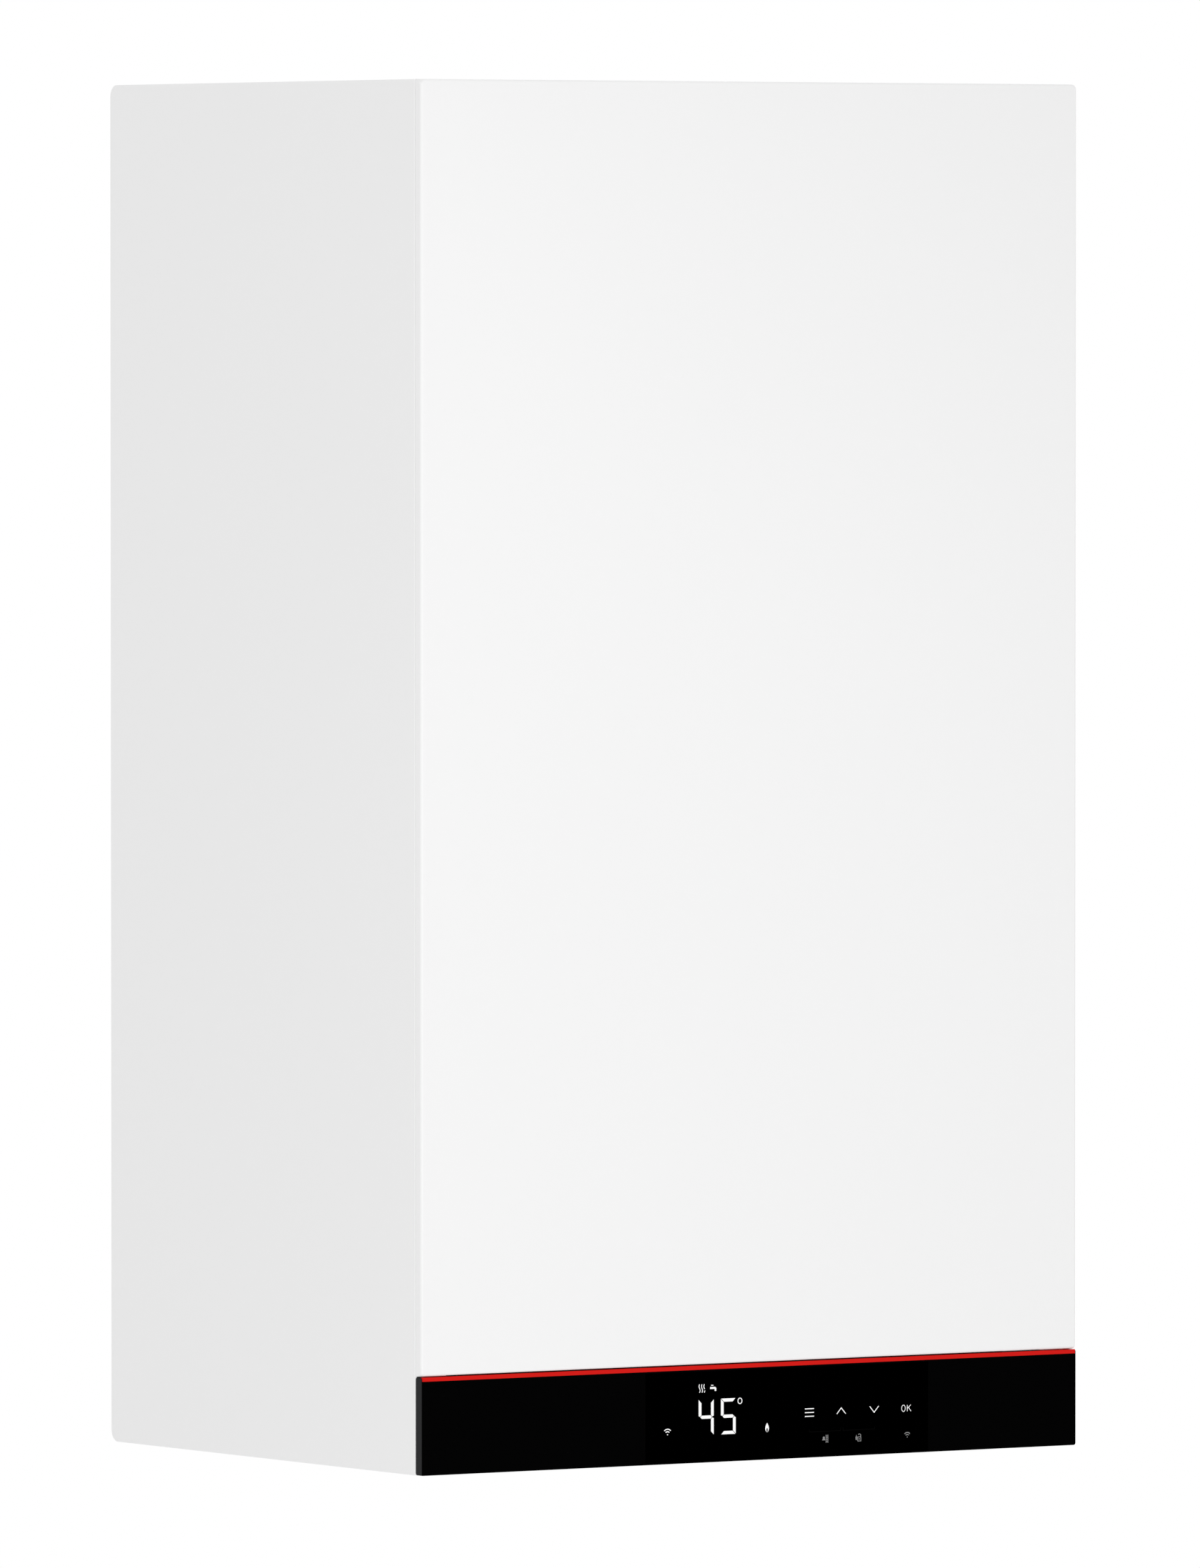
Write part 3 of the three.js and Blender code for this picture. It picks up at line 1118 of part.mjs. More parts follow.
// The volute stands on the manifold by its suction neck. Its front is open to the motor.
function pumpBody() {
  const y = [-PUMP_FRONT, -PUMP_BACK];
  const centre = [PUMP_OFFSET, PUMP_HEIGHT];
  const shell = rod("y", centre, PUMP_RADIUS, y, SIDES);
  const rise = PUMP_HEIGHT + PUMP_RADIUS / 2 + 4;
  const suctionZ = [MANIFOLD_TOP + FIT, PUMP_HEIGHT - PUMP_RADIUS / 2 - 4];
  const suction = rod("z", [pumpSuctionX, pumpOutletY], PUMP_NECK_RADIUS, suctionZ, 20);
  const outlet = rod("z", [pumpOutletX, pumpOutletY], PUMP_NECK_RADIUS, [rise, pumpOutletTop], 20);
  const vent = rod("z", [ventX, pumpOutletY], VENT_NECK_RADIUS, [rise, pumpVentTop], 16);
  const chamber = rod("y", centre, PUMP_WHEEL_RADIUS + 4, [y[0] - 1, y[1] - 6]);
  return cut(join(shell, suction, outlet, vent), chamber);
}

function pumpMotor() {
  const centre = [PUMP_OFFSET, PUMP_HEIGHT];
  const back = -PUMP_FRONT - FIT;
  const front = back - PUMP_MOTOR_LENGTH;
  const profile = [
    [0, front],
    [PUMP_MOTOR_RADIUS - 8, front],
    [PUMP_MOTOR_RADIUS, front + 8],
    [PUMP_MOTOR_RADIUS, back - 6],
    [PUMP_RADIUS - 1, back - 6],
    [PUMP_RADIUS - 1, back],
    [0, back],
  ];
  const terminalX = [PUMP_OFFSET + PUMP_MOTOR_RADIUS / 2, PUMP_OFFSET + TERMINAL_REACH];
  const terminalY = [front + TERMINAL_INSET, back - TERMINAL_INSET];
  const terminals = box(terminalX, terminalY, around(PUMP_HEIGHT, TERMINAL_HEIGHT));
  const socket = rod("y", centre, PUMP_SHAFT_RADIUS + FIT, [back - PUMP_SHAFT - 2, back + 1], 16);
  return cut(join(turned("y", centre, profile), terminals), socket);
}

function pumpRotor() {
  const centre = [PUMP_OFFSET, PUMP_HEIGHT];
  const back = -PUMP_BACK - 12;
  let rotor = join(
    rod("y", centre, PUMP_WHEEL_RADIUS, [back - 3, back]),
    rod("y", centre, PUMP_SHAFT_RADIUS, [-PUMP_FRONT - PUMP_SHAFT, back - 2], 16),
    rod("y", centre, 9, [back - 14, back - 2], 16),
  );
  for (let i = 0; i < 6; i++) {
    const vane = new THREE.BoxGeometry(PUMP_WHEEL_RADIUS - 8, 11, 2);
    vane.translate((PUMP_WHEEL_RADIUS + 6) / 2, back - 8, 6);
    vane.rotateY((i * Math.PI) / 3);
    rotor = join(rotor, solid(vane.translate(centre[0], 0, centre[1])));
  }
  return rotor;
}

function airVent() {
  const base = pumpVentTop + FIT;
  const profile = [
    [0, base],
    [8, base],
    [8, base + 5],
    [12, base + 8],
    [12, base + 34],
    [6, base + 38],
    [6, base + 44],
    [0, base + 44],
  ];
  return turned("z", [ventX, pumpOutletY], profile, 20);
}

const diverterX = [-DIVERTER_OFFSET - DIVERTER_WIDTH / 2, -DIVERTER_OFFSET + DIVERTER_WIDTH / 2];
const stemZ = (MANIFOLD_TOP + DIVERTER_TOP) / 2;
const motorBack = MANIFOLD_Y[0] - DIVERTER_GAP;

function diverterValve() {
  const body = prism("y", roundedRect(diverterX, [MANIFOLD_TOP + FIT, DIVERTER_TOP], 8), MANIFOLD_Y);
  const guide = rod("y", [-DIVERTER_OFFSET, stemZ], 10, [MANIFOLD_Y[0] - 4, MANIFOLD_Y[0] + 1], 16);
  const bore = rod("y", [-DIVERTER_OFFSET, stemZ], STEM_RADIUS + FIT, [MANIFOLD_Y[0] - 5, MANIFOLD_Y[1] - 10], 12);
  return cut(join(body, guide), bore);
}

// The motor stands off the valve on two posts, so that the stem can be seen to move.
function diverterMotor() {
  const front = motorBack - 42;
  const body = prism("y", roundedRect(diverterX, [stemZ - 24, stemZ + 24], 10), [front, motorBack]);
  const posts = [-1, 1].map((side) =>
    rod("y", [-DIVERTER_OFFSET + side * 19, stemZ], 3.5, [motorBack - 1, MANIFOLD_Y[0] - FIT], 12),
  );
  const bore = rod("y", [-DIVERTER_OFFSET, stemZ], STEM_RADIUS + FIT, [motorBack - 20, motorBack + 1], 12);
  return cut(join(body, ...posts), bore);
}

function diverterStem() {
  const centre = [-DIVERTER_OFFSET, stemZ];
  const front = motorBack - 16;
  const back = MANIFOLD_Y[1] - 10 - DIVERTER_STROKE - 1;
  const collarY = [motorBack + 1, motorBack + 3.4];
  return join(rod("y", centre, STEM_RADIUS, [front, back], 12), rod("y", centre, 6, collarY, 12));
}

const vesselPortY = -PORT_SETBACK - 15;

// The vessel's rounded body, shrunk on every side by an inset.
function vesselBody(inset, bevelSegments) {
  const edge = VESSEL_RIM + inset;
  const corner = VESSEL_CORNER - inset;
  const rounding = VESSEL_ROUNDING - inset;
  const y = [-VESSEL_FRONT + edge, -VESSEL_BACK - edge];
  const outline = roundedRect(y, [VESSEL_BOTTOM + edge, VESSEL_TOP - edge], corner);
  const bevel = {
    bevelEnabled: true,
    bevelThickness: rounding,
    bevelSize: rounding,
    bevelOffset: -rounding,
    bevelSegments,
  };
  const x = around(VESSEL_X, VESSEL_THICKNESS - 2 * inset);
  return prism("x", outline, [x[0] + rounding, x[1] - rounding], bevel);
}

// A flat steel vessel with a clamped rim round its middle, held on the rear panel by two feet.
function expansionVessel() {
  const y = [-VESSEL_FRONT, -VESSEL_BACK];
  const outline = roundedRect(y, [VESSEL_BOTTOM, VESSEL_TOP], VESSEL_CORNER + VESSEL_RIM);
  const rim = prism("x", outline, around(VESSEL_X, 5));
  const feet = [VESSEL_BOTTOM + VESSEL_FOOT_INSET, VESSEL_TOP - VESSEL_FOOT_INSET].map((z) =>
    rod("y", [VESSEL_X, z], 9, [y[1] - VESSEL_RIM - 1, REAR_FACE - FIT], 12),
  );
  const port = rod("z", [VESSEL_X, vesselPortY], 3, [VESSEL_BOTTOM - 1, VESSEL_BOTTOM + 20], 8);
  return cut(join(vesselBody(0, 2), rim, ...feet), vesselBody(VESSEL_WALL, 1), port);
}

function vesselPipe() {
  const z = (MANIFOLD_BOTTOM + MANIFOLD_TOP) / 2;
  const corners = [
    [VESSEL_X, vesselPortY, VESSEL_BOTTOM - FIT],
    [VESSEL_X, vesselPortY, z],
    [-MANIFOLD_OUTER - FIT, vesselPortY, z],
  ];
  return bentTube(corners, 5, 14);
}

function flowPipe() {
  const bendZ = VESSEL_BOTTOM - FLOW_BEND_DROP;
  const corners = [
    [-COIL_RADIUS, -COIL_FRONT, COIL_END_Z - FIT],
    [-COIL_RADIUS, -COIL_FRONT, bendZ],
    [-DIVERTER_OFFSET, -PORT_SETBACK, bendZ],
    [-DIVERTER_OFFSET, -PORT_SETBACK, DIVERTER_TOP + FIT],
  ];
  return bentTube(corners, PIPE_RADIUS, PIPE_BEND);
}

function returnPipe() {
  const top = pumpOutletTop + FIT;
  const corners = [
    [pumpOutletX, pumpOutletY, top],
    [pumpOutletX, pumpOutletY, top + RETURN_RISE],
    [COIL_RADIUS, -COIL_BACK, COIL_END_Z - RETURN_DROP],
    [COIL_RADIUS, -COIL_BACK, COIL_END_Z - FIT],
  ];
  return bentTube(corners, PIPE_RADIUS, PIPE_BEND);
}

function pressureSensor() {
  const z = (MANIFOLD_BOTTOM + MANIFOLD_TOP) / 2;
  const end = -MANIFOLD_OUTER - FIT;
  const profile = [
    [0, end - 20],
    [4, end - 20],
    [4, end - 14],
    [7, end - 14],
    [7, end],
    [0, end],
  ];
  return turned("x", [-PORT_SETBACK + 9, z], profile, 12);
}

const safetyX = MANIFOLD_OUTER + FIT + 14;
const safetyZ = (MANIFOLD_BOTTOM + MANIFOLD_TOP) / 2;

function safetyValve() {
  const neck = rod("x", [-PORT_SETBACK, safetyZ], 9, [MANIFOLD_OUTER + FIT, safetyX], 6);
  const body = rod("y", [safetyX, safetyZ], 11, [-PORT_SETBACK - 16, -PORT_SETBACK + 14], 16);
  const outlet = rod("z", [safetyX, -PORT_SETBACK + 2], 7, [safetyZ - 26, safetyZ], 12);
  return join(neck, body, outlet);
}

// The cap has flats for the fingers.
function safetyKnob() {
  const back = -PORT_SETBACK - 16 - FIT;
  const grip = rod("y", [safetyX, safetyZ], 13, [back - 16, back], 8);
  return join(grip, rod("y", [safetyX, safetyZ], 8, [back - 18, back - 15], 12));
}

function buildWater() {
  const water = group();
  piece(water, "flow_manifold", manifold(-1), "brass");
  piece(water, "return_manifold", returnManifold(), "brass");
  piece(water, "flow_turbine", flowTurbine(), "greyPlastic");
  piece(water, "plate_heat_exchanger", plateExchanger(), "steel");
  piece(water, "pump_body", pumpBody(), "greyPlastic");
  piece(water, "pump_motor", pumpMotor(), "darkPlastic");
  piece(water, "pump_rotor", pumpRotor(), "greyPlastic");
  piece(water, "air_vent", airVent(), "greyPlastic");
  piece(water, "diverter_valve", diverterValve(), "brass");
  piece(water, "diverter_motor", diverterMotor(), "darkPlastic");
  piece(water, "diverter_stem", diverterStem(), "steel");
  piece(water, "expansion_vessel", expansionVessel(), "vesselRed");
  piece(water, "vessel_pipe", vesselPipe(), "copper");
  piece(water, "flow_pipe", flowPipe(), "copper");
  piece(water, "return_pipe", returnPipe(), "copper");
  piece(water, "pressure_sensor", pressureSensor(), "brass");
  piece(water, "safety_valve", safetyValve(), "brass");
  piece(water, "safety_valve_knob", safetyKnob(), "red");
}

// ---- Condensate ----
const trapCentre = [-TRAP_OFFSET, -TRAP_SETBACK];
const neckBottom = TRAY_HEIGHT - TRAP_NECK;

function condensateTrap() {
  const floor = TRAY_HEIGHT + SHEET + FIT;
  const profile = [
    [0, neckBottom],
    [TRAP_NECK_RADIUS, neckBottom],
    [TRAP_NECK_RADIUS, floor],
    [TRAP_RADIUS, floor],
    [TRAP_RADIUS, TRAP_TOP - 8],
    [TRAP_RADIUS - 10, TRAP_TOP],
    [0, TRAP_TOP],
  ];
  return turned("z", trapCentre, profile);
}

// The cup turns on the trap's neck under the tray, and is grooved for the fingers.
function trapCup() {
  const rim = TRAY_HEIGHT - 4 * FIT;
  const inner = TRAP_NECK_RADIUS + FIT;
  const profile = [
    [0, CUP_BOTTOM],
    [CUP_RADIUS - 2, CUP_BOTTOM],
    [CUP_RADIUS, CUP_BOTTOM + 2],
    [CUP_RADIUS, rim],
    [inner, rim],
    [inner, neckBottom - FIT],
    [0, neckBottom - FIT],
  ];
  const grooves = Array.from({ length: 8 }, (_, i) => {
    const angle = (i * Math.PI) / 4;
    const centre = [CUP_RADIUS * Math.cos(angle) - TRAP_OFFSET, CUP_RADIUS * Math.sin(angle) - TRAP_SETBACK];
    return rod("z", centre, 2, [CUP_BOTTOM - 1, rim - 6], 8);
  });
  return cut(turned("z", trapCentre, profile), ...grooves);
}

function condensateHose() {
  const knee = TRAP_TOP + 25;
  const corners = [
    [0, -DRAIN_SETBACK, CELL_Z - DRAIN_STUB - FIT],
    [0, -DRAIN_SETBACK, knee],
    [-TRAP_OFFSET, -TRAP_SETBACK, knee],
    [-TRAP_OFFSET, -TRAP_SETBACK, TRAP_TOP + FIT],
  ];
  return bentTube(corners, DRAIN_RADIUS - 1, 20);
}

function buildCondensate() {
  const condensate = group();
  piece(condensate, "condensate_trap", condensateTrap(), "greyPlastic");
  piece(condensate, "trap_cup", trapCup(), "darkPlastic");
  piece(condensate, "condensate_hose", condensateHose(), "rubber");
}

buildCasing();
buildCover();
buildControlPanel();
buildHeatCell();
buildFan();
buildGas();
buildWater();
buildCondensate();
boiler.position.z = -HANG_HEIGHT;

export default boiler;
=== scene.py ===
import json
import math

import bmesh
import bpy
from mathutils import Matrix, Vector


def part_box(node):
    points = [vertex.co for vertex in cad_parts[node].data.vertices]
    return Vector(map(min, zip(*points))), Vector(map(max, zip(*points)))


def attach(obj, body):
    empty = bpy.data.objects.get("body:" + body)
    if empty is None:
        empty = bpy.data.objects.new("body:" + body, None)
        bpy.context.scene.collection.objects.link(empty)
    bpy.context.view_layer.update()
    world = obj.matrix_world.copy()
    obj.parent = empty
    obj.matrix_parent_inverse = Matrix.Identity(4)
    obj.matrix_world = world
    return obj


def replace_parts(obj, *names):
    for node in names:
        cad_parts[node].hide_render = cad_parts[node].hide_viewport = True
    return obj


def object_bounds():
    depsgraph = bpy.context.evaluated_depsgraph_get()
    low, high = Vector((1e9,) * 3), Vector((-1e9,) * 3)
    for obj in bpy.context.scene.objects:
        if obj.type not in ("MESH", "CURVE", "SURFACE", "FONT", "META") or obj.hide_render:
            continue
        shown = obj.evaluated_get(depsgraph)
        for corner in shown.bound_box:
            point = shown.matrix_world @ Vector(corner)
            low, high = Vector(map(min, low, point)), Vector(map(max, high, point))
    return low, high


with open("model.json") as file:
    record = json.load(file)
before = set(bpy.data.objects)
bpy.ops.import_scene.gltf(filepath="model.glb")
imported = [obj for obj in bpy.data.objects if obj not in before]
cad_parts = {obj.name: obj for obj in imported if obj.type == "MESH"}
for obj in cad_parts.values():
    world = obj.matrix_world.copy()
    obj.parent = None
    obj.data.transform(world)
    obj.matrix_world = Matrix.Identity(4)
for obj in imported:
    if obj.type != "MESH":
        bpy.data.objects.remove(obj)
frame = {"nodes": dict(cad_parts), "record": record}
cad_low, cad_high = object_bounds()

# Looks of a wall-hung combi boiler. Metres, +X right, the front faces -Y, +Z up.
MM = 0.001
TURN = 2 * math.pi
NODES = frame["nodes"]
FASCIA_LOW, FASCIA_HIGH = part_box("fascia")


# ---- node trees ----
class Graph:
    """A node tree, with short ways to add, set and link its nodes."""

    def __init__(self, tree):
        self.tree = tree

    def feed(self, node, inputs):
        """Links or sets inputs, which are given by name or number."""
        for key, source in inputs.items():
            socket = node.inputs[key]
            if isinstance(source, bpy.types.NodeSocket):
                self.tree.links.new(source, socket)
            else:
                socket.default_value = source

    def node(self, kind, inputs=None, **settings):
        made = self.tree.nodes.new(kind)
        for key, value in settings.items():
            setattr(made, key, value)
        self.feed(made, inputs or {})
        return made

    def calc(self, operation, *sources):
        made = self.node("ShaderNodeMath", dict(enumerate(sources)), operation=operation)
        return made.outputs["Value"]

    def mix_shaders(self, share, first, second, output):
        mix = self.node("ShaderNodeMixShader", {"Fac": share, 1: first, 2: second})
        self.feed(output, {"Surface": mix.outputs["Shader"]})


def opaque(colour):
    """A colour as an input takes it. A socket stays as it is."""
    return (*colour, 1) if isinstance(colour, tuple) else colour


def shade(colour, factor):
    return tuple(channel * factor for channel in colour)


class Shader(Graph):
    """A material's node tree, with its Principled shader at hand."""

    def __init__(self, name, colour, roughness, metallic=0.0, specular=0.5):
        self.material = bpy.data.materials.new(name)
        self.material.use_nodes = True
        super().__init__(self.material.node_tree)
        self.colour = colour
        self.roughness = roughness
        self.principled = self.tree.nodes["Principled BSDF"]
        self.feed(self.principled, {"Base Color": opaque(colour), "Roughness": roughness,
                                    "Metallic": metallic, "Specular IOR Level": specular})
        self.place = self.node("ShaderNodeTexCoord").outputs["Object"]

    def drive(self, socket, source):
        self.feed(self.principled, {socket: source})

    def stretched(self, scale):
        mapping = self.node("ShaderNodeMapping", {"Vector": self.place, "Scale": scale})
        return mapping.outputs["Vector"]

    def noise(self, scale, detail=3, roughness=0.5, stretch=None):
        place = self.stretched(stretch) if stretch else self.place
        inputs = {"Vector": place, "Scale": scale, "Detail": detail, "Roughness": roughness}
        return self.node("ShaderNodeTexNoise", inputs).outputs["Fac"]

    def cells(self, scale, output="Distance"):
        made = self.node("ShaderNodeTexVoronoi", {"Vector": self.place, "Scale": scale})
        return made.outputs[output]

    def spread(self, source, low, high, start=0.0, end=1.0, **settings):
        """Maps the values from start to end onto low to high."""
        inputs = {"Value": source, "From Min": start, "From Max": end, "To Min": low, "To Max": high}
        return self.node("ShaderNodeMapRange", inputs, **settings).outputs["Result"]

    def blend(self, source, low, high):
        """A colour between two, by a value from 0 to 1."""
        made = self.node("ShaderNodeMix", data_type="RGBA")
        first, second = [i for i, socket in enumerate(made.inputs) if socket.type == "RGBA"]
        self.feed(made, {"Factor": source, first: opaque(low), second: opaque(high)})
        return next(socket for socket in made.outputs if socket.type == "RGBA")

    def tint(self, source, dark, light):
        """Its own colour, from darker to lighter by a value from 0 to 1."""
        self.drive("Base Color", self.blend(source, shade(self.colour, dark), shade(self.colour, light)))

    def roughen(self, source, less, more):
        """Its own roughness, from a little less to a little more."""
        self.drive("Roughness", self.spread(source, self.roughness - less, self.roughness + more))

    def sideways(self, vector):
        """How far a vector reaches to either side."""
        parts = self.node("ShaderNodeSeparateXYZ", {"Vector": vector})
        return self.calc("ABSOLUTE", parts.outputs["X"])

    def bump(self, height, depth, strength=1.0):
        made = self.node("ShaderNodeBump", {"Height": height, "Distance": depth, "Strength": strength})
        self.drive("Normal", made.outputs["Normal"])


# ---- materials ----
def powder_coat(name, colour, roughness=0.42):
    s = Shader(name, colour, roughness)
    s.tint(s.noise(7, detail=2), 0.992, 1)
    s.roughen(s.noise(60), 0.03, 0.04)
    s.bump(s.noise(900, detail=2), 0.02 * MM, 0.5)
    return s.material


def zinc_sheet(name, colour):
    s = Shader(name, colour, 0.4, metallic=1.0)
    spangle = s.node("ShaderNodeRGBToBW", {"Color": s.cells(150, output="Color")}).outputs["Val"]
    s.tint(spangle, 0.9, 1.06)
    s.roughen(spangle, 0.02, 0.1)
    s.bump(s.noise(260, detail=3), 0.03 * MM, 0.5)
    return s.material


def drawn_metal(name, colour, roughness, tarnish=0.85):
    s = Shader(name, colour, roughness, metallic=1.0)
    s.tint(s.noise(38, detail=5, roughness=0.6), tarnish, 1)
    grain = s.noise(1400, detail=2, stretch=(1, 1, 0.04))
    s.roughen(grain, 0.07, 0.12)
    s.bump(grain, 0.02 * MM, 0.5)
    return s.material


def cast_metal(name, colour, roughness=0.52):
    s = Shader(name, colour, roughness, metallic=1.0)
    s.tint(s.noise(45, detail=5), 0.84, 1.05)
    s.roughen(s.noise(150), 0.08, 0.1)
    s.bump(s.noise(620, detail=4, roughness=0.6), 0.12 * MM, 0.6)
    return s.material


def moulded(name, colour):
    s = Shader(name, colour, 0.5)
    s.tint(s.noise(22, detail=2), 0.93, 1.04)
    s.roughen(s.noise(180), 0.04, 0.06)
    s.bump(s.cells(1500), 0.03 * MM, 0.5)
    return s.material


def fascia_plastic(name, front, side):
    """Polished black on the front, fine-grained dark grey on the outer ends."""
    s = Shader(name, front, 0.22, specular=0.002)
    normal = s.node("ShaderNodeNewGeometry").outputs["True Normal"]
    facing = s.spread(s.sideways(normal), 0, 1, 0.55, 0.8)
    outer = s.spread(s.sideways(s.place), 0, 1, FASCIA_HIGH.x - 5 * MM, FASCIA_HIGH.x - 4 * MM)
    end_face = s.calc("MULTIPLY", facing, outer)
    grain = s.noise(900, detail=2)
    end_colour = s.blend(grain, shade(side, 0.9), shade(side, 1.1))
    s.drive("Base Color", s.blend(end_face, front, end_colour))
    s.drive("Roughness", s.spread(end_face, 0.22, 0.6))
    s.bump(grain, 0.01 * MM, 0.3)
    return s.material


def window_black(name):
    s = Shader(name, (0.00003, 0.00003, 0.00003), 0.08, specular=0.0)
    s.roughen(s.noise(40), 0.02, 0.02)
    return s.material


def accent(name, colour):
    s = Shader(name, colour, 0.4, specular=0.03)
    s.tint(s.noise(90), 0.97, 1.02)
    s.bump(s.noise(1200, detail=1), 0.01 * MM, 0.4)
    return s.material


def rubber(name):
    s = Shader(name, (0.022, 0.022, 0.023), 0.75, specular=0.3)
    s.drive("Base Color", s.blend(s.noise(70, detail=4), (0.015, 0.015, 0.016), (0.034, 0.033, 0.033)))
    s.bump(s.noise(1100, detail=3), 0.05 * MM, 0.6)
    return s.material


def foam(name, colour):
    s = Shader(name, colour, 0.95, specular=0.1)
    pores_and_pit_shade = s.cells(420)
    # Painted shade: the pores' pits are drawn darker, as shade in them; the same pores also set the bump.
    s.tint(pores_and_pit_shade, 0.62, 1.06)
    s.bump(pores_and_pit_shade, 0.6 * MM, 0.9)
    return s.material


def ceramic(name, colour):
    s = Shader(name, colour, 0.85, specular=0.2)
    fibres = s.noise(300, detail=6, roughness=0.7)
    s.tint(fibres, 0.86, 1)
    s.bump(fibres, 0.25 * MM, 0.8)
    return s.material


def circuit_board(name, colour):
    s = Shader(name, colour, 0.35)
    tracks = s.node("ShaderNodeTexBrick", {
        "Vector": s.stretched((260, 1, 260)),
        "Color1": opaque(colour),
        "Color2": opaque(shade(colour, 0.7)),
        "Mortar": opaque(shade(colour, 1.7)),
        "Mortar Size": 0.03,
    })
    s.drive("Base Color", tracks.outputs["Color"])
    s.bump(tracks.outputs["Fac"], 0.05 * MM, 0.4)
    return s.material


def lit(name, strength):
    """A back-lit sign: plain light, a little uneven as seen through the window's tint."""
    s = Shader(name, (0.0, 0.0, 0.0), 0.4, specular=0.0)
    s.drive("Emission Strength", 1.0)
    glow = s.noise(500, detail=1)
    s.drive("Emission Color", s.blend(glow, (strength * 0.97,) * 3, (strength * 1.03,) * 3))
    return s.material


FASCIA_FRONT = (0.00095, 0.00095, 0.00098)
FASCIA_SIDE = (0.033, 0.0335, 0.0345)
MATERIALS = {
    "casing_white": powder_coat("white_powder_coat", (0.937, 0.937, 0.937)),
    "zinc_sheet": zinc_sheet("zinc_sheet", (0.62, 0.635, 0.65)),
    "steel": drawn_metal("plain_steel", (0.62, 0.62, 0.62), 0.4),
    "fascia_black": fascia_plastic("fascia_plastic", FASCIA_FRONT, FASCIA_SIDE),
    "display_black": window_black("display_window"),
    "accent_red": accent("accent_red", (0.665, 0.0115, 0.0085)),
    "dark_plastic": moulded("dark_plastic", (0.028, 0.030, 0.033)),
    "rubber": rubber("rubber"),
    "foam": foam("foam_mat", (0.26, 0.28, 0.30)),
    "cast_aluminium": cast_metal("cast_aluminium", (0.62, 0.63, 0.64)),
    "copper": drawn_metal("copper_tube", (0.83, 0.40, 0.24), 0.26, tarnish=0.72),
    "brass": cast_metal("hot_pressed_brass", (0.78, 0.58, 0.28), 0.36),
    "ceramic": ceramic("ceramic_fibre", (0.78, 0.75, 0.69)),
    "vessel_red": powder_coat("vessel_red", (0.46, 0.025, 0.018), roughness=0.36),
    "circuit_board": circuit_board("circuit_board", (0.012, 0.085, 0.035)),
    "grey_plastic": moulded("grey_plastic", (0.20, 0.215, 0.23)),
}
BRIGHT_SIGN = lit("bright_sign", 1.0)
DIM_SIGN = lit("dim_sign", 0.26)
FAINT_SIGN = lit("faint_sign", 0.0035)


# ---- smooth shading of faceted solids ----
SMOOTH_UNDER = math.radians(38)  # facets that meet at less than this are one round surface
WELD_DISTANCE = 0.01 * MM


def smooth_group():
    """Joins the facets' corners and keeps only the true edges sharp."""
    graph = Graph(bpy.data.node_groups.new("round_surfaces", "GeometryNodeTree"))
    for way in ("INPUT", "OUTPUT"):
        graph.tree.interface.new_socket("Geometry", in_out=way, socket_type="NodeSocketGeometry")
    shape = graph.node("NodeGroupInput").outputs[0]
    angle = graph.node("GeometryNodeInputMeshEdgeAngle").outputs["Unsigned Angle"]
    is_round = graph.calc("LESS_THAN", angle, SMOOTH_UNDER)
    for kind, inputs, settings in (
        ("GeometryNodeRemoveAttribute", {"Name": "custom_normal"}, {}),
        ("GeometryNodeMergeByDistance", {"Distance": WELD_DISTANCE}, {}),
        ("GeometryNodeSetShadeSmooth", {}, {}),
        ("GeometryNodeSetShadeSmooth", {"Shade Smooth": is_round}, {"domain": "EDGE"}),
    ):
        step = graph.node(kind, {"Geometry": shape, **inputs}, **settings)
        shape = step.outputs["Geometry"]
    graph.node("NodeGroupOutput", {0: shape})
    return graph.tree


ROUND_SURFACES = smooth_group()


def smooth(piece):
    rounded = piece.modifiers.new("round_surfaces", "NODES")
    rounded.node_group = ROUND_SURFACES
    weighted = piece.modifiers.new("flat_stays_flat", "WEIGHTED_NORMAL")
    weighted.keep_sharp = True


def dress_nodes():
    """The CAD nodes' materials, by their slots, and their smooth shading."""
    slots = {part["node"]: part["material_slot"] for part in frame["record"]["subparts"]}
    for name, node in NODES.items():
        node.material_slots[0].material = MATERIALS[slots[name]]
        smooth(node)


# ---- outlines ----
ARC_STEP = math.radians(12)


def polar(centre, radius, angle):
    return (centre[0] + radius * math.cos(angle), centre[1] + radius * math.sin(angle))


def circle(centre, radius, count, start=0.0):
    """Places in equal steps round a centre. The first is start steps on from the first axis."""
    return [polar(centre, radius, TURN * (i + start) / count) for i in range(count)]


def arc(centre, radius, start, end):
    """Points on an arc, from start to end in degrees."""
    start, end = math.radians(start), math.radians(end)
    steps = max(2, round(abs(end - start) / ARC_STEP))
    return [polar(centre, radius, start + (end - start) * i / steps) for i in range(steps + 1)]


def rounded_rectangle(us, vs, corner, steps=8):
    """Outline of a rectangle with round corners."""
    left, right = us[0] + corner, us[1] - corner
    low, high = vs[0] + corner, vs[1] - corner
    points = []
    for centre, start in (((right, high), 0), ((left, high), 90), ((left, low), 180), ((right, low), 270)):
        points += [polar(centre, corner, math.radians(start + 90 * i / steps)) for i in range(steps + 1)]
    return points


def stroke(points, width):
    """A ribbon along a few points, as one outline with mitred corners."""
    left, right = [], []
    path = [Vector(p) for p in points]
    for i, point in enumerate(path):
        before = (point - path[i - 1]).normalized() if i else None
        after = (path[i + 1] - point).normalized() if i + 1 < len(path) else None
        along = (before + after).normalized() if before and after else (before or after)
        normal = Vector((-along.y, along.x))
        reach = width / 2
        if before and after:
            reach /= max(0.3, normal.dot(Vector((-after.y, after.x))))
        left.append(point + normal * reach)
        right.append(point - normal * reach)
    return [tuple(p) for p in left + right[::-1]]


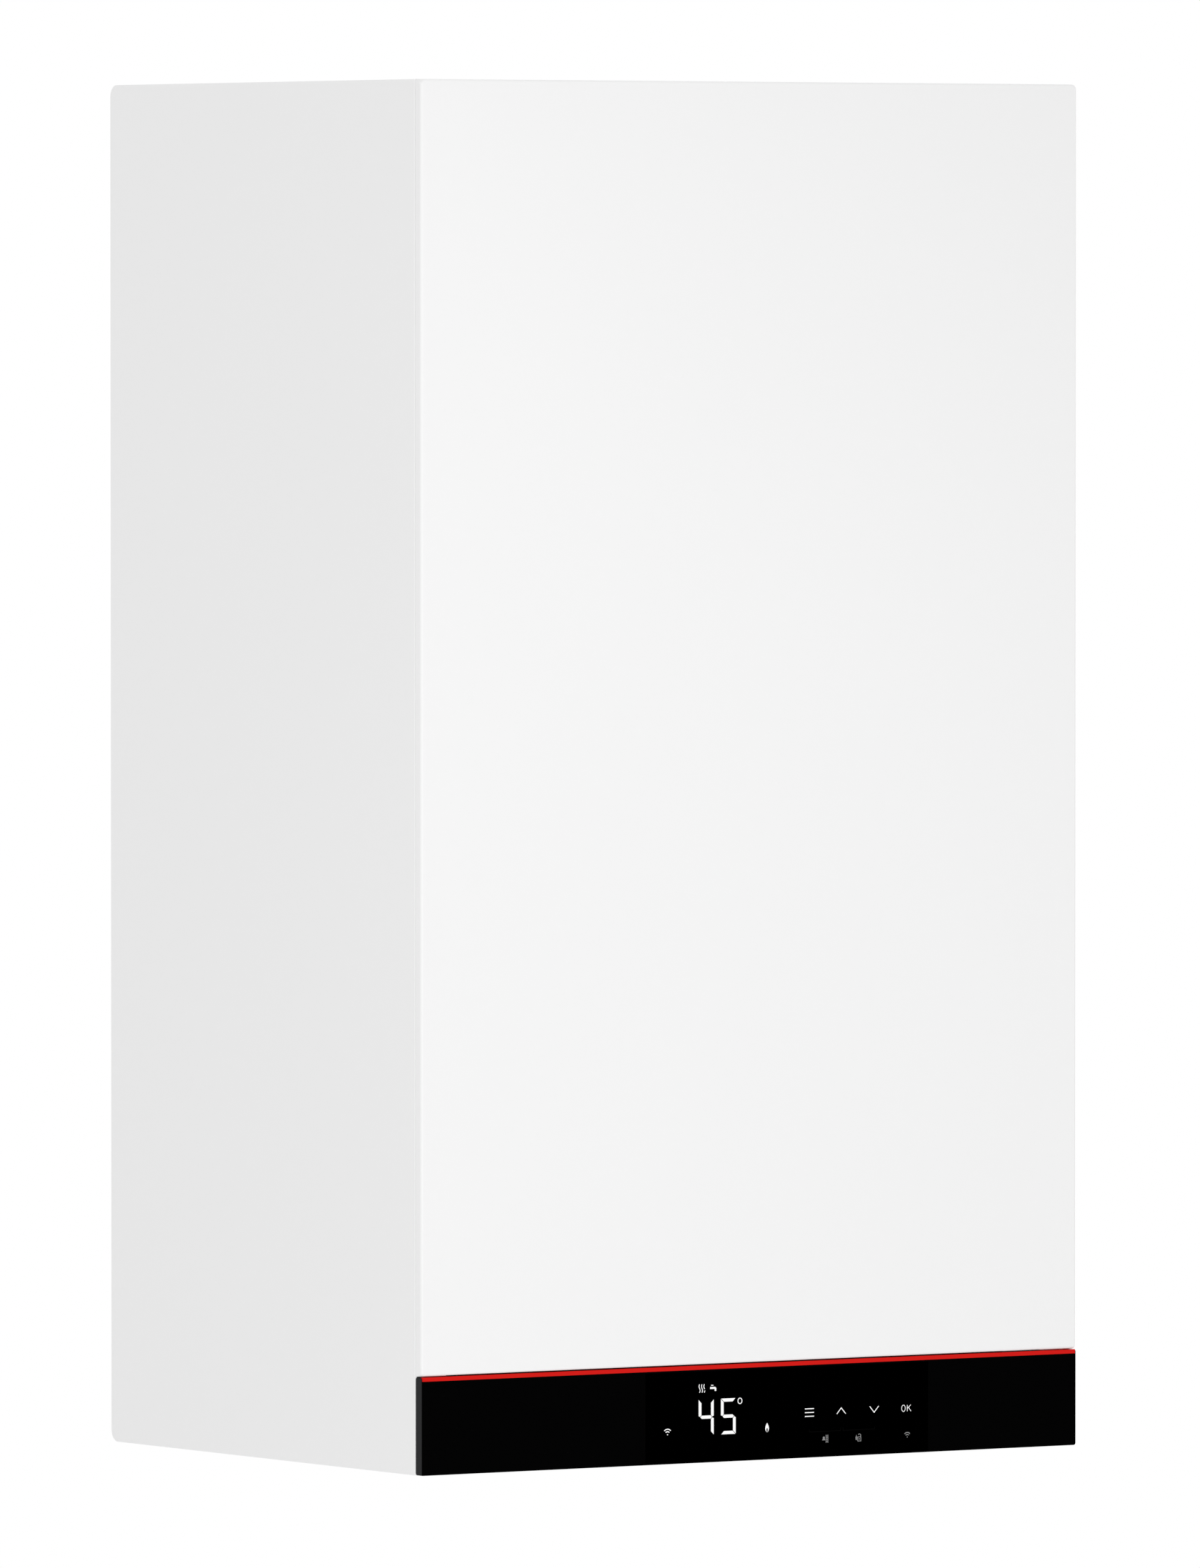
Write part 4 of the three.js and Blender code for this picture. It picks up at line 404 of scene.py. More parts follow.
# ---- display, in millimetres from its lower edge ----
SIGN_THICKNESS = 0.06
SIGN_RECESS = 0.05  # window's face behind the signs
DIGIT_LINE = 1.65  # width of a segment
SEGMENT_GAP = 0.22
DIGIT_BOTTOM, DIGIT_MIDDLE, DIGIT_TOP = 13.95, 23.1, 32.15
KEY_LINE = 0.44
DIM_LINE = 0.34


def add_piece(name, mesh, slot, body="casing", material=None):
    """A piece in its slot's own material, or in another."""
    piece = bpy.data.objects.new(name, mesh)
    bpy.context.scene.collection.objects.link(piece)
    mesh.materials.append(material or MATERIALS[slot])
    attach(piece, body)
    return piece


def disc(centre, radius):
    return arc(centre, radius, 0, 345)


def digit_segments(left, right, lit_parts):
    """Segments of one numeral: t top, m middle, u bottom, l and L left, r and R right, upper and lower."""
    w, g = DIGIT_LINE, SEGMENT_GAP
    low, mid, high = DIGIT_BOTTOM, DIGIT_MIDDLE, DIGIT_TOP
    half = w / 2
    shapes = {"m": [
        (left + half + g, mid), (left + w + g, mid + half), (right - w - g, mid + half),
        (right - half - g, mid), (right - w - g, mid - half), (left + w + g, mid - half),
    ]}
    for end, way, level, uprights in ((high, 1, "t", "lr"), (low, -1, "u", "LR")):
        near = end - way * w
        shapes[level] = [(left + g, end), (right - g, end), (right - w - g, near), (left + w + g, near)]
        for key, outer, inner in zip(uprights, (left, right), (left + w, right - w)):
            shapes[key] = [
                (outer, end - way * g), (outer, mid + way * (g + half / 2)),
                ((outer + inner) / 2, mid + way * g),
                (inner, mid + way * (g + half)), (inner, end - way * (g + w)),
            ]
    return [shapes[part] for part in lit_parts]


def oval(centre, across, up, steps, split, line):
    """A closed oval line, in two pieces that meet at a split step."""
    angles = [TURN * i / steps for i in range(steps + 1)]
    ring = [(centre[0] + across * math.cos(a), centre[1] + up * math.sin(a)) for a in angles]
    return [stroke(ring[:split + 1], line), stroke(ring[split:], line)]


def radio_sign(x, z, size, line):
    """A dot and two arcs above it."""
    arcs = [stroke(arc((x, z), size * share, 45, 135), line) for share in (0.55, 1.0)]
    return [disc((x, z), line * 0.62), *arcs]


def moved(x, z, points):
    return [(x + u, z + v) for u, v in points]


def lines(x, z, width, *paths):
    """Ribbons along paths, which are given from a sign's corner."""
    return [stroke(moved(x, z, path), width) for path in paths]


def heating_sign(x, z, height):
    """Three rising waves. The last has a small break."""
    steps, swing, pitch = 10, 0.34, 1.45
    waves = []
    for offset, low, high in ((0, 0, 1), (pitch, 0, 1), (2 * pitch, 0.42, 1), (2 * pitch, 0, 0.24)):
        shares = [low + (high - low) * i / steps for i in range(steps + 1)]
        waves.append([(offset + swing * math.sin(share * TURN), height * share) for share in shares])
    return lines(x, z, 0.42, *waves)


def tap_sign(x, z):
    spout = [(0, 2.0), (3.1, 2.0), (3.75, 1.4), (3.75, -0.1), (2.75, -0.1), (2.75, 0.95), (0, 0.95)]
    return [*lines(x, z, 0.42, [(0.6, 2.85), (2.0, 2.85)]), moved(x, z, spout)]


def flame_sign(x, z, height, width):
    """A drop-shaped flame with a dark heart that opens at its foot."""
    share = [i / 10 for i in range(11)]
    side = [(width * math.sin(math.pi * s ** 0.75) ** 0.85, height * (0.02 + 0.98 * s)) for s in share[1:]]
    heart = [(0.42 * width * math.sin(math.pi * s) ** 0.8, 0.5 * height * s) for s in share[2:10:2]]
    outline = side + [(-u, v) for u, v in side[-2::-1]] + [(-0.25 * width, 0)]
    outline += [(-u, v) for u, v in heart] + [(0, 0.5 * height)] + heart[::-1] + [(0.25 * width, 0)]
    return [moved(x, z, outline)]


def menu_sign(x, z, width):
    return lines(x, z, 0.48, *([(0, level), (width, level)] for level in (0, 1.93, 3.86)))


def arrow_sign(left, tip_x, right, foot_z, tip_z):
    return [stroke([(left, foot_z), (tip_x, tip_z), (right, foot_z)], KEY_LINE)]


def ok_letters(x, z):
    height, line, left = 3.3, 0.31, 3.55
    back = [(left, 0), (left, height)]
    arms = [(left + 2.15, height), (left + 0.15, 1.55)], [(left + 0.75, 2.1), (left + 2.3, 0)]
    ring = oval((x + 1.2, z + height / 2), 1.1, height / 2, 24, 12, line)
    return [*ring, *lines(x, z, line, back, *arms)]


def service_sign(x, z):
    """A fitter's head and shoulders beside a ladder."""
    left, right, top = 1.5, 2.6, 4.1
    sides = lines(x, z, DIM_LINE, [(left, 0), (left, top)], [(right, 0), (right, top)])
    levels = [0.6 + i * 0.95 for i in range(4)]
    rungs = lines(x, z, 0.28, *([(left, level), (right, level)] for level in levels))
    shoulders = moved(x, z, [(-0.95, 1.35), (1.05, 1.35), (0.75, 2.0), (-0.6, 2.0)])
    return [disc((x + 0.08, z + 2.6), 0.62), shoulders, *sides, *rungs]


def lock_sign(x, z):
    """A small flame beside an open padlock."""
    flame = moved(x, z, [(-0.85, 0.9), (-0.25, 0.75), (-0.1, 1.9), (-0.45, 3.5), (-0.95, 2.1)])
    left, right, low, high = 0.35, 2.3, 0.2, 2.3
    case = [(left, low), (right, low), (right, high), (left, high), (left, low)]
    shackle = arc((1.45, 3.0), 0.8, 150, -40)
    return [flame, *lines(x, z, DIM_LINE, case, shackle), disc((x + 1.35, z + 1.25), 0.3)]


def bracket_lines(xs, z):
    """Two faint lines that join the keys' pairs."""
    first, second, third, last = xs
    left = [(first, 1.25), (first, 0), (second, 0), (second, 1.6)]
    right = [(third, 1.6), (third, 0), (last, 0), (last, 1.1)]
    return lines(0, z, 0.22, left, right)


def finished(build, name):
    """The mesh of a bmesh, with its faces turned outwards."""
    bmesh.ops.recalc_face_normals(build, faces=build.faces)
    mesh = bpy.data.meshes.new(name)
    build.to_mesh(mesh)
    build.free()
    return mesh


def plates(name, outlines, front, back):
    """The mesh of flat plates that face -Y, from outlines of (x, z) points in metres."""
    build = bmesh.new()
    for outline in outlines:
        near = [build.verts.new((x, front, z)) for x, z in outline]
        far = [build.verts.new((x, back, z)) for x, z in outline]
        build.faces.new(near)
        build.faces.new(far[::-1])
        for i in range(len(outline)):
            j = (i + 1) % len(outline)
            build.faces.new((near[j], near[i], far[i], far[j]))
    return finished(build, name)


def add_display():
    low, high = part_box("display_glass")
    outline = [(low.x, low.z), (high.x, low.z), (high.x, high.z), (low.x, high.z)]
    mesh = plates("display_window", [outline], low.y + SIGN_RECESS * MM, high.y)
    window = add_piece("display_window", mesh, "display_black", "control_panel")
    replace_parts(window, "display_glass")
    bright = {
        "numeral_tens": digit_segments(-33.15, -24.0, "lrmR"),
        "numeral_units": digit_segments(-19.6, -10.6, "tlmRu"),
        "degree_sign": oval((-8.0, 30.6), 1.22, 1.42, 30, 16, 0.46),
        "heating_sign": heating_sign(-32.6, 35.65, 4.2),
        "tap_sign": tap_sign(-26.2, 36.3),
        "radio_sign": radio_sign(-52.1, 15.1, 2.75, 0.5),
        "flame_sign": flame_sign(8.6, 13.95, 4.8, 1.12),
        "menu_key": menu_sign(31.76, 21.1, 5.6),
        "up_key": arrow_sign(51.4, 54.1, 56.8, 21.65, 24.7),
        "down_key": arrow_sign(71.65, 74.4, 77.15, 24.75, 21.65),
        "confirm_key": ok_letters(91.3, 21.35),
    }
    dim = {
        "service_sign": service_sign(43.3, 7.2),
        "lock_sign": lock_sign(63.9, 7.1),
        "small_radio_sign": radio_sign(94.85, 8.2, 2.35, 0.42),
    }
    faint = {"key_bracket": bracket_lines((34.5, 53.75, 55.2, 74.7), 13.1)}
    for signs, material in ((bright, BRIGHT_SIGN), (dim, DIM_SIGN), (faint, FAINT_SIGN)):
        for name, outlines in signs.items():
            placed = [[(x * MM, FASCIA_LOW.z + z * MM) for x, z in outline] for outline in outlines]
            mesh = plates(name, placed, FASCIA_LOW.y, FASCIA_LOW.y + SIGN_THICKNESS * MM)
            add_piece(name, mesh, "display_black", "control_panel", material)


# ---- solids in mesh code, in millimetres ----
ROUND_STEPS = 72
TUBE_SIDES = 28
BEND_STEP = math.radians(9)
EDGE_STEPS = 2


def edges_of(node):
    """The lowest and highest corners of a node's box, in millimetres."""
    low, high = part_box(node)
    return low / MM, high / MM


def middle_of(node):
    low, high = edges_of(node)
    return (low + high) / 2


def spot(axis, place, along):
    """A point in metres, from its place along an axis and its two other coordinates."""
    point = list(place)
    point.insert("xyz".index(axis), along)
    return Vector(point) * MM


def bent(corners, bend):
    """A route with its corners rounded."""
    path = [Vector(corners[0])]
    for before, corner, after in zip(corners, corners[1:], corners[2:]):
        corner = Vector(corner)
        back = (Vector(before) - corner).normalized()
        ahead = (Vector(after) - corner).normalized()
        half = back.angle(ahead) / 2
        reach = bend / math.tan(half)
        centre = corner + (back + ahead).normalized() * bend / math.sin(half)
        start = (corner + back * reach - centre).normalized()
        end = (corner + ahead * reach - centre).normalized()
        steps = max(2, round(start.angle(end) / BEND_STEP))
        path += [centre + start.slerp(end, i / steps).normalized() * bend for i in range(steps + 1)]
    return path + [Vector(corners[-1])]


class Solid:
    """The closed bodies of one piece."""

    def __init__(self):
        self.mesh = bmesh.new()

    def corners(self, points):
        return [self.mesh.verts.new(point) for point in points]

    def skin(self, rings, steps):
        """Faces between neighbouring rings. A ring of one point is a tip."""
        for first, second in rings:
            for i in range(steps):
                j = (i + 1) % steps
                corners = (first[i % len(first)], first[j % len(first)],
                           second[j % len(second)], second[i % len(second)])
                self.mesh.faces.new(dict.fromkeys(corners))

    def turned(self, axis, centre, profile, steps=ROUND_STEPS, base=0.0, way=1):
        """A body of revolution. Its outline of (radius, distance from the base) points starts and ends
        on the axis, or closes on itself. The distances run along the axis, or against it where way is -1."""
        rings = []
        for radius, rise in profile:
            places = circle(centre, radius, steps if radius else 1)
            rings.append(self.corners(spot(axis, place, base + way * rise) for place in places))
        following = rings[1:] + rings[:1] if profile[0][0] else rings[1:]
        self.skin(zip(rings, following), steps)
        return self

    def prism(self, axis, outline, start, end):
        """An outline in the two other coordinates, drawn out along an axis."""
        first = self.corners(spot(axis, place, start) for place in outline)
        second = self.corners(spot(axis, place, end) for place in outline)
        self.mesh.faces.new(first)
        self.mesh.faces.new(second[::-1])
        self.skin([(first, second)], len(outline))
        return self

    def rod(self, axis, centre, radius, start, end, sides=ROUND_STEPS):
        return self.prism(axis, circle(centre, radius, sides), start, end)

    def bar(self, low, high):
        outline = [(low[0], low[1]), (high[0], low[1]), (high[0], high[1]), (low[0], high[1])]
        return self.prism("z", outline, low[2], high[2])

    def spokes(self, centre, count, radii, ys, width, start=0.0):
        """Ribs that run outwards from a centre in the XZ plane, in equal steps."""
        for u, v in circle((0, 0), 1, count, start):
            out = Vector((u, v))
            across = Vector((-v, u)) * width / 2
            near = Vector(centre) + out * radii[0]
            far = Vector(centre) + out * radii[1]
            self.prism("y", [near - across, far - across, far + across, near + across], *ys)

    def tube(self, corners, radius, bend):
        path = bent(corners, bend)
        along = (path[1] - path[0]).normalized()
        side = along.orthogonal().normalized()
        rings = []
        for i, place in enumerate(path):
            ahead = (path[min(i + 1, len(path) - 1)] - path[max(i - 1, 0)]).normalized()
            side = along.rotation_difference(ahead) @ side
            along = ahead
            up = along.cross(side)
            ring = [side * u + up * v for u, v in circle((0, 0), 1, TUBE_SIDES)]
            rings.append(self.corners((place + offset * radius) * MM for offset in ring))
        self.mesh.faces.new(rings[0][::-1])
        self.mesh.faces.new(rings[-1])
        self.skin(zip(rings, rings[1:]), TUBE_SIDES)
        return self

    def done(self, name):
        return finished(self.mesh, name)

    def piece(self, name, slot, edge=0.0, body="casing"):
        """Adds the bodies to the scene. Edge is the rounding of their true edges."""
        made = add_piece(name, self.done(name), slot, body)
        if edge:
            rounding = made.modifiers.new("rounded_edges", "BEVEL")
            rounding.width = edge * MM
            rounding.segments = EDGE_STEPS
            rounding.limit_method = "ANGLE"
            rounding.angle_limit = SMOOTH_UNDER
        smooth(made)
        return made


def carved(body, tool):
    """The mesh of one solid with another taken out of it."""
    holders = [bpy.data.objects.new("carving", solid.done("carving")) for solid in (body, tool)]
    for holder in holders:
        bpy.context.scene.collection.objects.link(holder)
    cut = holders[0].modifiers.new("cut", "BOOLEAN")
    cut.object = holders[1]
    cut.solver = "EXACT"
    shape = holders[0].evaluated_get(bpy.context.evaluated_depsgraph_get())
    mesh = bpy.data.meshes.new_from_object(shape)
    for holder in holders:
        bpy.data.objects.remove(holder)
    return mesh


# ---- small fasteners ----
HEAD_RISE = 1.9
CLAMP_WIDTH = 8


def screw_heads(name, places, seat, radius, way=-1, body="casing"):
    """Pan heads with a round socket, on seats at one depth. They face along Y, or against it (way -1)."""
    profile = [(0, -0.4), (0.7 * radius, -0.4), (0.7 * radius, 0), (radius, 0), (radius, 0.45 * HEAD_RISE),
               (0.86 * radius, 0.85 * HEAD_RISE), (0.6 * radius, HEAD_RISE), (0.46 * radius, HEAD_RISE),
               (0.4 * radius, 0.25 * HEAD_RISE), (0, 0.25 * HEAD_RISE)]
    heads = Solid()
    for place in places:
        heads.turned("y", place, profile, steps=24, base=seat, way=way)
    heads.piece(name, "steel", body=body)


def add_nut(nuts, axis, centre, start, end, radius):
    """A hexagon nut with turned-down ends."""
    lip = min(1.2, abs(end - start) / 5) * (1 if end > start else -1)
    nuts.rod(axis, centre, radius, start + lip, end - lip, sides=6)
    nuts.rod(axis, centre, radius * 0.84, start, end, sides=36)


def add_clamps(name, radius, places):
    """Hose clips: thin bands with their screws' housings. Each place is an axis, a centre and a start."""
    outer = radius + 0.9
    band = [(radius, 0), (outer, 0), (outer, CLAMP_WIDTH), (radius, CLAMP_WIDTH)]
    clamps = Solid()
    for axis, centre, start in places:
        screw = (centre[0] - radius - 2.2, centre[1])
        clamps.turned(axis, centre, band, base=start)
        clamps.rod(axis, screw, 3, start + 1, start + CLAMP_WIDTH - 1, sides=24)
    clamps.piece(name, "steel", edge=0.15)


# ---- heat cell ----
DOOR_THICKNESS = 12
DOOR_RIM = 3
DOOR_BORE = 21
DOOR_RIBS = 12
RIB_WIDTH = 3.2
BOSS_RADIUS = 35
BOSS_WALL = 4
DOOR_NUTS = 6
DOOR_NUT_CIRCLE = 96
DOOR_NUT_RADIUS = 7.4
DOOR_NUT_HEIGHT = 6
WASHER_RADIUS = 9.2
WASHER_THICKNESS = 1.4
STUD_RADIUS = 3.8
CAP_SCREWS = 4
CAP_SCREW_CIRCLE = 27


def add_burner_door():
    """A cast door with a raised rim, ribs and the mixture's inlet boss, held by nuts on studs."""
    low, high = edges_of("burner_door")
    centre = middle_of("burner_door").xz
    radius = (high.x - low.x) / 2
    front = high.y - DOOR_THICKNESS
    rim = DOOR_THICKNESS + DOOR_RIM
    boss = high.y - low.y
    plate, hub = DOOR_THICKNESS, BOSS_RADIUS
    door = Solid().turned("y", centre, [
        (0, boss - BOSS_WALL), (DOOR_BORE, boss - BOSS_WALL), (DOOR_BORE, 0), (radius - 0.8, 0),
        (radius, 0.8), (radius, rim - 1), (radius - 1, rim), (radius - 6.5, rim), (radius - 9, plate),
        (hub + 6, plate), (hub + 1.8, plate + 1.8), (hub, plate + 6), (hub, boss - 5), (hub - 1, boss - 4.2),
        (hub, boss - 3.4), (hub, boss - 1.2), (hub - 1.2, boss), (hub - 14, boss), (hub - 15, boss - 1),
        (0, boss - 1)], steps=120, base=high.y, way=-1)
    rib_radii = (hub - 1, radius - 7)
    rib_ys = (front - DOOR_RIM + 0.6, front + 1)
    door.spokes(centre, DOOR_RIBS, rib_radii, rib_ys, RIB_WIDTH, start=0.5)
    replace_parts(door.piece("cast_burner_door", "cast_aluminium", edge=0.5), "burner_door")
    nuts = Solid()
    seat = front - WASHER_THICKNESS
    face = seat - DOOR_NUT_HEIGHT
    for place in circle(centre, DOOR_NUT_CIRCLE, DOOR_NUTS, start=0.5):
        nuts.rod("y", place, WASHER_RADIUS, seat, front, sides=36)
        add_nut(nuts, "y", place, seat, face, DOOR_NUT_RADIUS)
        nuts.rod("y", place, STUD_RADIUS, face - 2.4, face + 0.4, sides=24)
    nuts.piece("door_nuts", "steel", edge=0.3)
    screws = circle(centre, CAP_SCREW_CIRCLE, CAP_SCREWS, start=0.5)
    screw_heads("boss_screws", screws, low.y, radius=3.2)


# ---- fan ----
SCROLL_MAX = 78
SCROLL_MIN = 50
SCROLL_WALL = 3
OUTLET_WIDTH = 28
SCROLL_STEPS = 110
SCROLL_SWEEP = math.radians(330)
EYE_RADIUS = 20
SHAFT_RADIUS = 3
LUG_RADIUS = 5
LUG_REACH = 7  # to each side of the scroll's middle
LUG_SHARES = (0.08, 0.27, 0.46, 0.65, 0.84)  # places along the spiral
FAN_FINS = 28


def scroll_place(centre, share, outwards):
    """A point beside the spiral, at a share of its length."""
    radius = SCROLL_MAX - (SCROLL_MAX - SCROLL_MIN) * share + outwards
    return polar(centre, radius, -SCROLL_SWEEP * share)


def scroll_outline(centre, top, inset):
    """The spiral casing and its outlet, drawn in by an inset."""
    spiral = [scroll_place(centre, i / SCROLL_STEPS, -inset) for i in range(SCROLL_STEPS + 1)]
    outlet_left = centre[0] + SCROLL_MAX - OUTLET_WIDTH + inset
    return [(centre[0] + SCROLL_MAX - inset, top), *spiral, (outlet_left, top)]


def add_fan():
    """A hollow scroll with its inlet eye and the shaft's hole, the flange of its halves, and the motor."""
    low, high = edges_of("fan_housing")
    motor_low, motor_high = edges_of("fan_motor")
    centre = middle_of("fan_motor").xz
    inner_front, inner_back = low.y + SCROLL_WALL, high.y - SCROLL_WALL
    shell = Solid().prism("y", scroll_outline(centre, high.z, 0), low.y, high.y)
    hollow = Solid().prism("y", scroll_outline(centre, high.z + 1, SCROLL_WALL), inner_front, inner_back)
    holes = Solid().rod("y", centre, EYE_RADIUS, inner_back - 1, high.y + 1)
    holes.rod("y", centre, 2 * SHAFT_RADIUS, low.y - 1, inner_front + 1, sides=32)
    chamber = Solid()
    chamber.mesh.from_mesh(carved(shell, hollow))
    housing = add_piece("fan_scroll", carved(chamber, holes), "cast_aluminium")
    smooth(housing)
    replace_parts(housing, "fan_housing")
    add_scroll_flange(centre, low, high)
    add_fan_motor(centre, motor_low, motor_high)


def add_scroll_flange(centre, low, high):
    """The joint of the casing's two halves, with its screws, and the ring that the motor stands on."""
    middle = (low.y + high.y) / 2
    front = middle - LUG_REACH
    flange = Solid()
    lugs = [scroll_place(centre, share, 3.4) for share in LUG_SHARES]
    for lug in lugs:
        flange.rod("y", lug, LUG_RADIUS, front, middle + LUG_REACH, sides=32)
    flange.turned("y", centre, [(39, -0.5), (39, 1.6), (45.5, 1.6), (47, -0.5)], base=low.y, way=-1)
    flange.piece("fan_lugs", "cast_aluminium", edge=0.4)
    screw_heads("fan_screws", lugs, front, radius=3.4)


def add_fan_motor(centre, low, high):
    """A plastic cap with cooling fins round its side and a plug socket below."""
    radius = (high.x - low.x) / 2
    bore = SHAFT_RADIUS + 0.3
    front, back = low.y, high.y
    depth = back - front
    motor = Solid().turned("y", centre, [
        (0, depth - 10), (bore, depth - 10), (bore, depth), (radius, depth), (radius, depth - 4),
        (radius - 3.5, depth - 4.6), (radius - 3.5, 7), (radius - 5, 2.4), (radius - 9, 0), (18, 0),
        (17, 1.2), (9.5, 1.2), (9, 0.2), (0, 0.2)], base=front)
    motor.spokes(centre, FAN_FINS, (radius - 5, radius - 0.6), (back - 3, front + 5.5), 2.2)
    x, rim_z = centre[0], centre[1] - radius
    motor.bar((x - 9, front + 6, rim_z - 7), (x + 9, back - 4, rim_z + 6))
    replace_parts(motor.piece("finned_fan_motor", "dark_plastic", edge=0.35), "fan_motor")


# ---- gas and mixture ----
ELBOW_RADIUS = 13
ELBOW_BEND = 22
ELBOW_RISE = 52
VALVE_SETBACK = 6  # casting's front, behind the box's
REGULATOR_X = -13
REGULATOR_RISE = 27
TEST_POINT_RISES = (10, 22)


def add_mixture_elbow():
    """A moulded bend with a square foot on the fan's outlet, and a clip at each end."""
    low, high = edges_of("mixture_elbow")
    scroll_low, scroll_high = edges_of("fan_housing")
    x = high.x - OUTLET_WIDTH / 2
    outlet_y = middle_of("fan_housing").y
    inlet_y = low.y + ELBOW_RADIUS
    cell_z = middle_of("burner_door").z
    route = [(x, outlet_y, low.z), (x, outlet_y, low.z + ELBOW_RISE), (x, inlet_y, cell_z),
             (low.x, inlet_y, cell_z)]
    elbow = Solid().tube(route, ELBOW_RADIUS, ELBOW_BEND)
    elbow.bar((high.x - OUTLET_WIDTH, scroll_low.y + 4, low.z), (high.x, scroll_high.y - 4, low.z + 3))
    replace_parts(elbow.piece("moulded_elbow", "dark_plastic", edge=0.3), "mixture_elbow")
    clamps = [("x", (inlet_y, cell_z), low.x + 3), ("z", (x, outlet_y), low.z + 7)]
    add_clamps("elbow_clamps", ELBOW_RADIUS, clamps)


def add_gas_valve_trim():
    """The casting's screws, the regulator's cap, the solenoid's plug and pressure test points."""
    low, high = edges_of("gas_valve")
    front = low.y + VALVE_SETBACK
    corners = [(x, z) for x in (low.x + 6, high.x - 6) for z in (low.z + 6, high.z - 17)]
    screw_heads("gas_valve_screws", corners, front, radius=3.2)
    cap = [(0, 0), (14, 0), (14, 3), (12.5, 4.5), (5, 4.5), (4.5, 3.2), (0, 3.2)]
    regulator = Solid().turned("y", (REGULATOR_X, low.z + REGULATOR_RISE), cap, base=front, way=-1)
    regulator.piece("regulator_cap", "grey_plastic", edge=0.3)
    plug = Solid().bar((11.5, front + 9, high.z - 1.5), (30.5, front + 33, high.z + 8))
    plug.bar((14.5, front + 13, high.z + 8), (27.5, front + 29, high.z + 12))
    plug.piece("solenoid_plug", "dark_plastic", edge=0.8)
    nozzle = [(0, 0), (4, 0), (4, 3), (2.6, 3), (2.6, 9), (1, 9.6), (0, 9.6)]
    points = Solid()
    for rise in TEST_POINT_RISES:
        points.turned("x", (front + 12, low.z + rise), nozzle, steps=24, base=low.x, way=-1)
    points.piece("test_points", "brass")


def add_ignition_lid():
    low, high = edges_of("ignition_unit")
    front = low.y - 2.5
    lid = Solid().bar((low.x + 1.5, front, low.z + 11.5), (high.x - 1.5, low.y, high.z - 1.5))
    lid.bar((low.x + 7, low.y + 6, high.z - 0.5), (low.x + 22, low.y + 20, high.z + 7))
    lid.piece("ignition_lid", "dark_plastic", edge=0.8)
    places = [((low.x + high.x) / 2, z) for z in (low.z + 17, high.z - 7)]
    screw_heads("ignition_screws", places, front, radius=2.8)


# ---- water circuit ----
PIPE_RADIUS = 8
PIPE_BEND = 20
VESSEL_PIPE_RADIUS = 5
VESSEL_PIPE_BEND = 14
PORTS = (-100, -35, 0, 35, 100)  # connections, from left to right, with gas in the middle
PORT_ROW = -110  # connections, from the wall
FLOW_BEND_RISE = 69.7  # diverter to the flow pipe's bend
RETURN_LEGS = (84, 120)  # upper and lower leg of the return pipe, to the right of the middle
RETURN_BEND_RISE = 75
RETURN_BEND_DROP = 64.7
NUT_RADIUS = 13.5
NUT_LENGTH = 15
TOP_NUT = (-10, 9)  # from the pipe's upper end
THIN_NUT_RADIUS = 10.5
HOSE_RADIUS = 8
HOSE_INSET = 7.6  # hose's axis, from the ends of its box
HOSE_KNEE = 24.7


def add_pipe_nuts(nuts, top, foot, low, high):
    add_nut(nuts, "z", top, high.z + TOP_NUT[0], high.z + TOP_NUT[1], NUT_RADIUS)
    add_nut(nuts, "z", foot, low.z, low.z + NUT_LENGTH, NUT_RADIUS)


def add_copper_pipes():
    """Smooth tubes on the same routes as the nodes', with brass nuts at their ends."""
    nuts = Solid()
    low, high = edges_of("flow_pipe")
    x = (low.x + high.x) / 2
    front = low.y + PIPE_RADIUS
    bend = low.z + FLOW_BEND_RISE
    route = [(x, front, high.z), (x, front, bend), (x, PORT_ROW, bend), (x, PORT_ROW, low.z)]
    flow = Solid().tube(route, PIPE_RADIUS, PIPE_BEND)
    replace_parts(flow.piece("flow_tube", "copper"), "flow_pipe")
    add_pipe_nuts(nuts, (x, front), (x, PORT_ROW), low, high)

    low, high = edges_of("return_pipe")
    left, right = RETURN_LEGS
    front, back = low.y + PIPE_RADIUS, high.y - PIPE_RADIUS
    route = [(right, front, low.z), (right, front, low.z + RETURN_BEND_RISE),
             (left, back, high.z - RETURN_BEND_DROP), (left, back, high.z)]
    back_tube = Solid().tube(route, PIPE_RADIUS, PIPE_BEND)
    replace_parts(back_tube.piece("return_tube", "copper"), "return_pipe")
    add_pipe_nuts(nuts, (left, back), (right, front), low, high)

    low, high = edges_of("vessel_pipe")
    x = low.x + VESSEL_PIPE_RADIUS
    y = (low.y + high.y) / 2
    z = low.z + VESSEL_PIPE_RADIUS
    thin = Solid().tube([(x, y, high.z), (x, y, z), (high.x, y, z)], VESSEL_PIPE_RADIUS, VESSEL_PIPE_BEND)
    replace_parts(thin.piece("vessel_tube", "copper"), "vessel_pipe")
    add_nut(nuts, "z", (x, y), high.z - 14, high.z, THIN_NUT_RADIUS)
    add_nut(nuts, "x", (y, z), high.x - 12, high.x, THIN_NUT_RADIUS)
    nuts.piece("pipe_nuts", "brass", edge=0.3)


def add_hose():
    """The condensate's hose, with a clip at each end."""
    low, high = edges_of("condensate_hose")
    y = (low.y + high.y) / 2
    left, right = low.x + HOSE_INSET, high.x - HOSE_INSET
    knee = low.z + HOSE_KNEE
    route = [(right, y, high.z), (right, y, knee), (left, y, knee), (left, y, low.z)]
    hose = Solid().tube(route, HOSE_RADIUS, PIPE_BEND)
    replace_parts(hose.piece("drain_hose", "rubber"), "condensate_hose")
    clamps = [("z", (right, y), high.z - 13), ("z", (left, y), low.z + 3)]
    add_clamps("hose_clamps", HOSE_RADIUS, clamps)


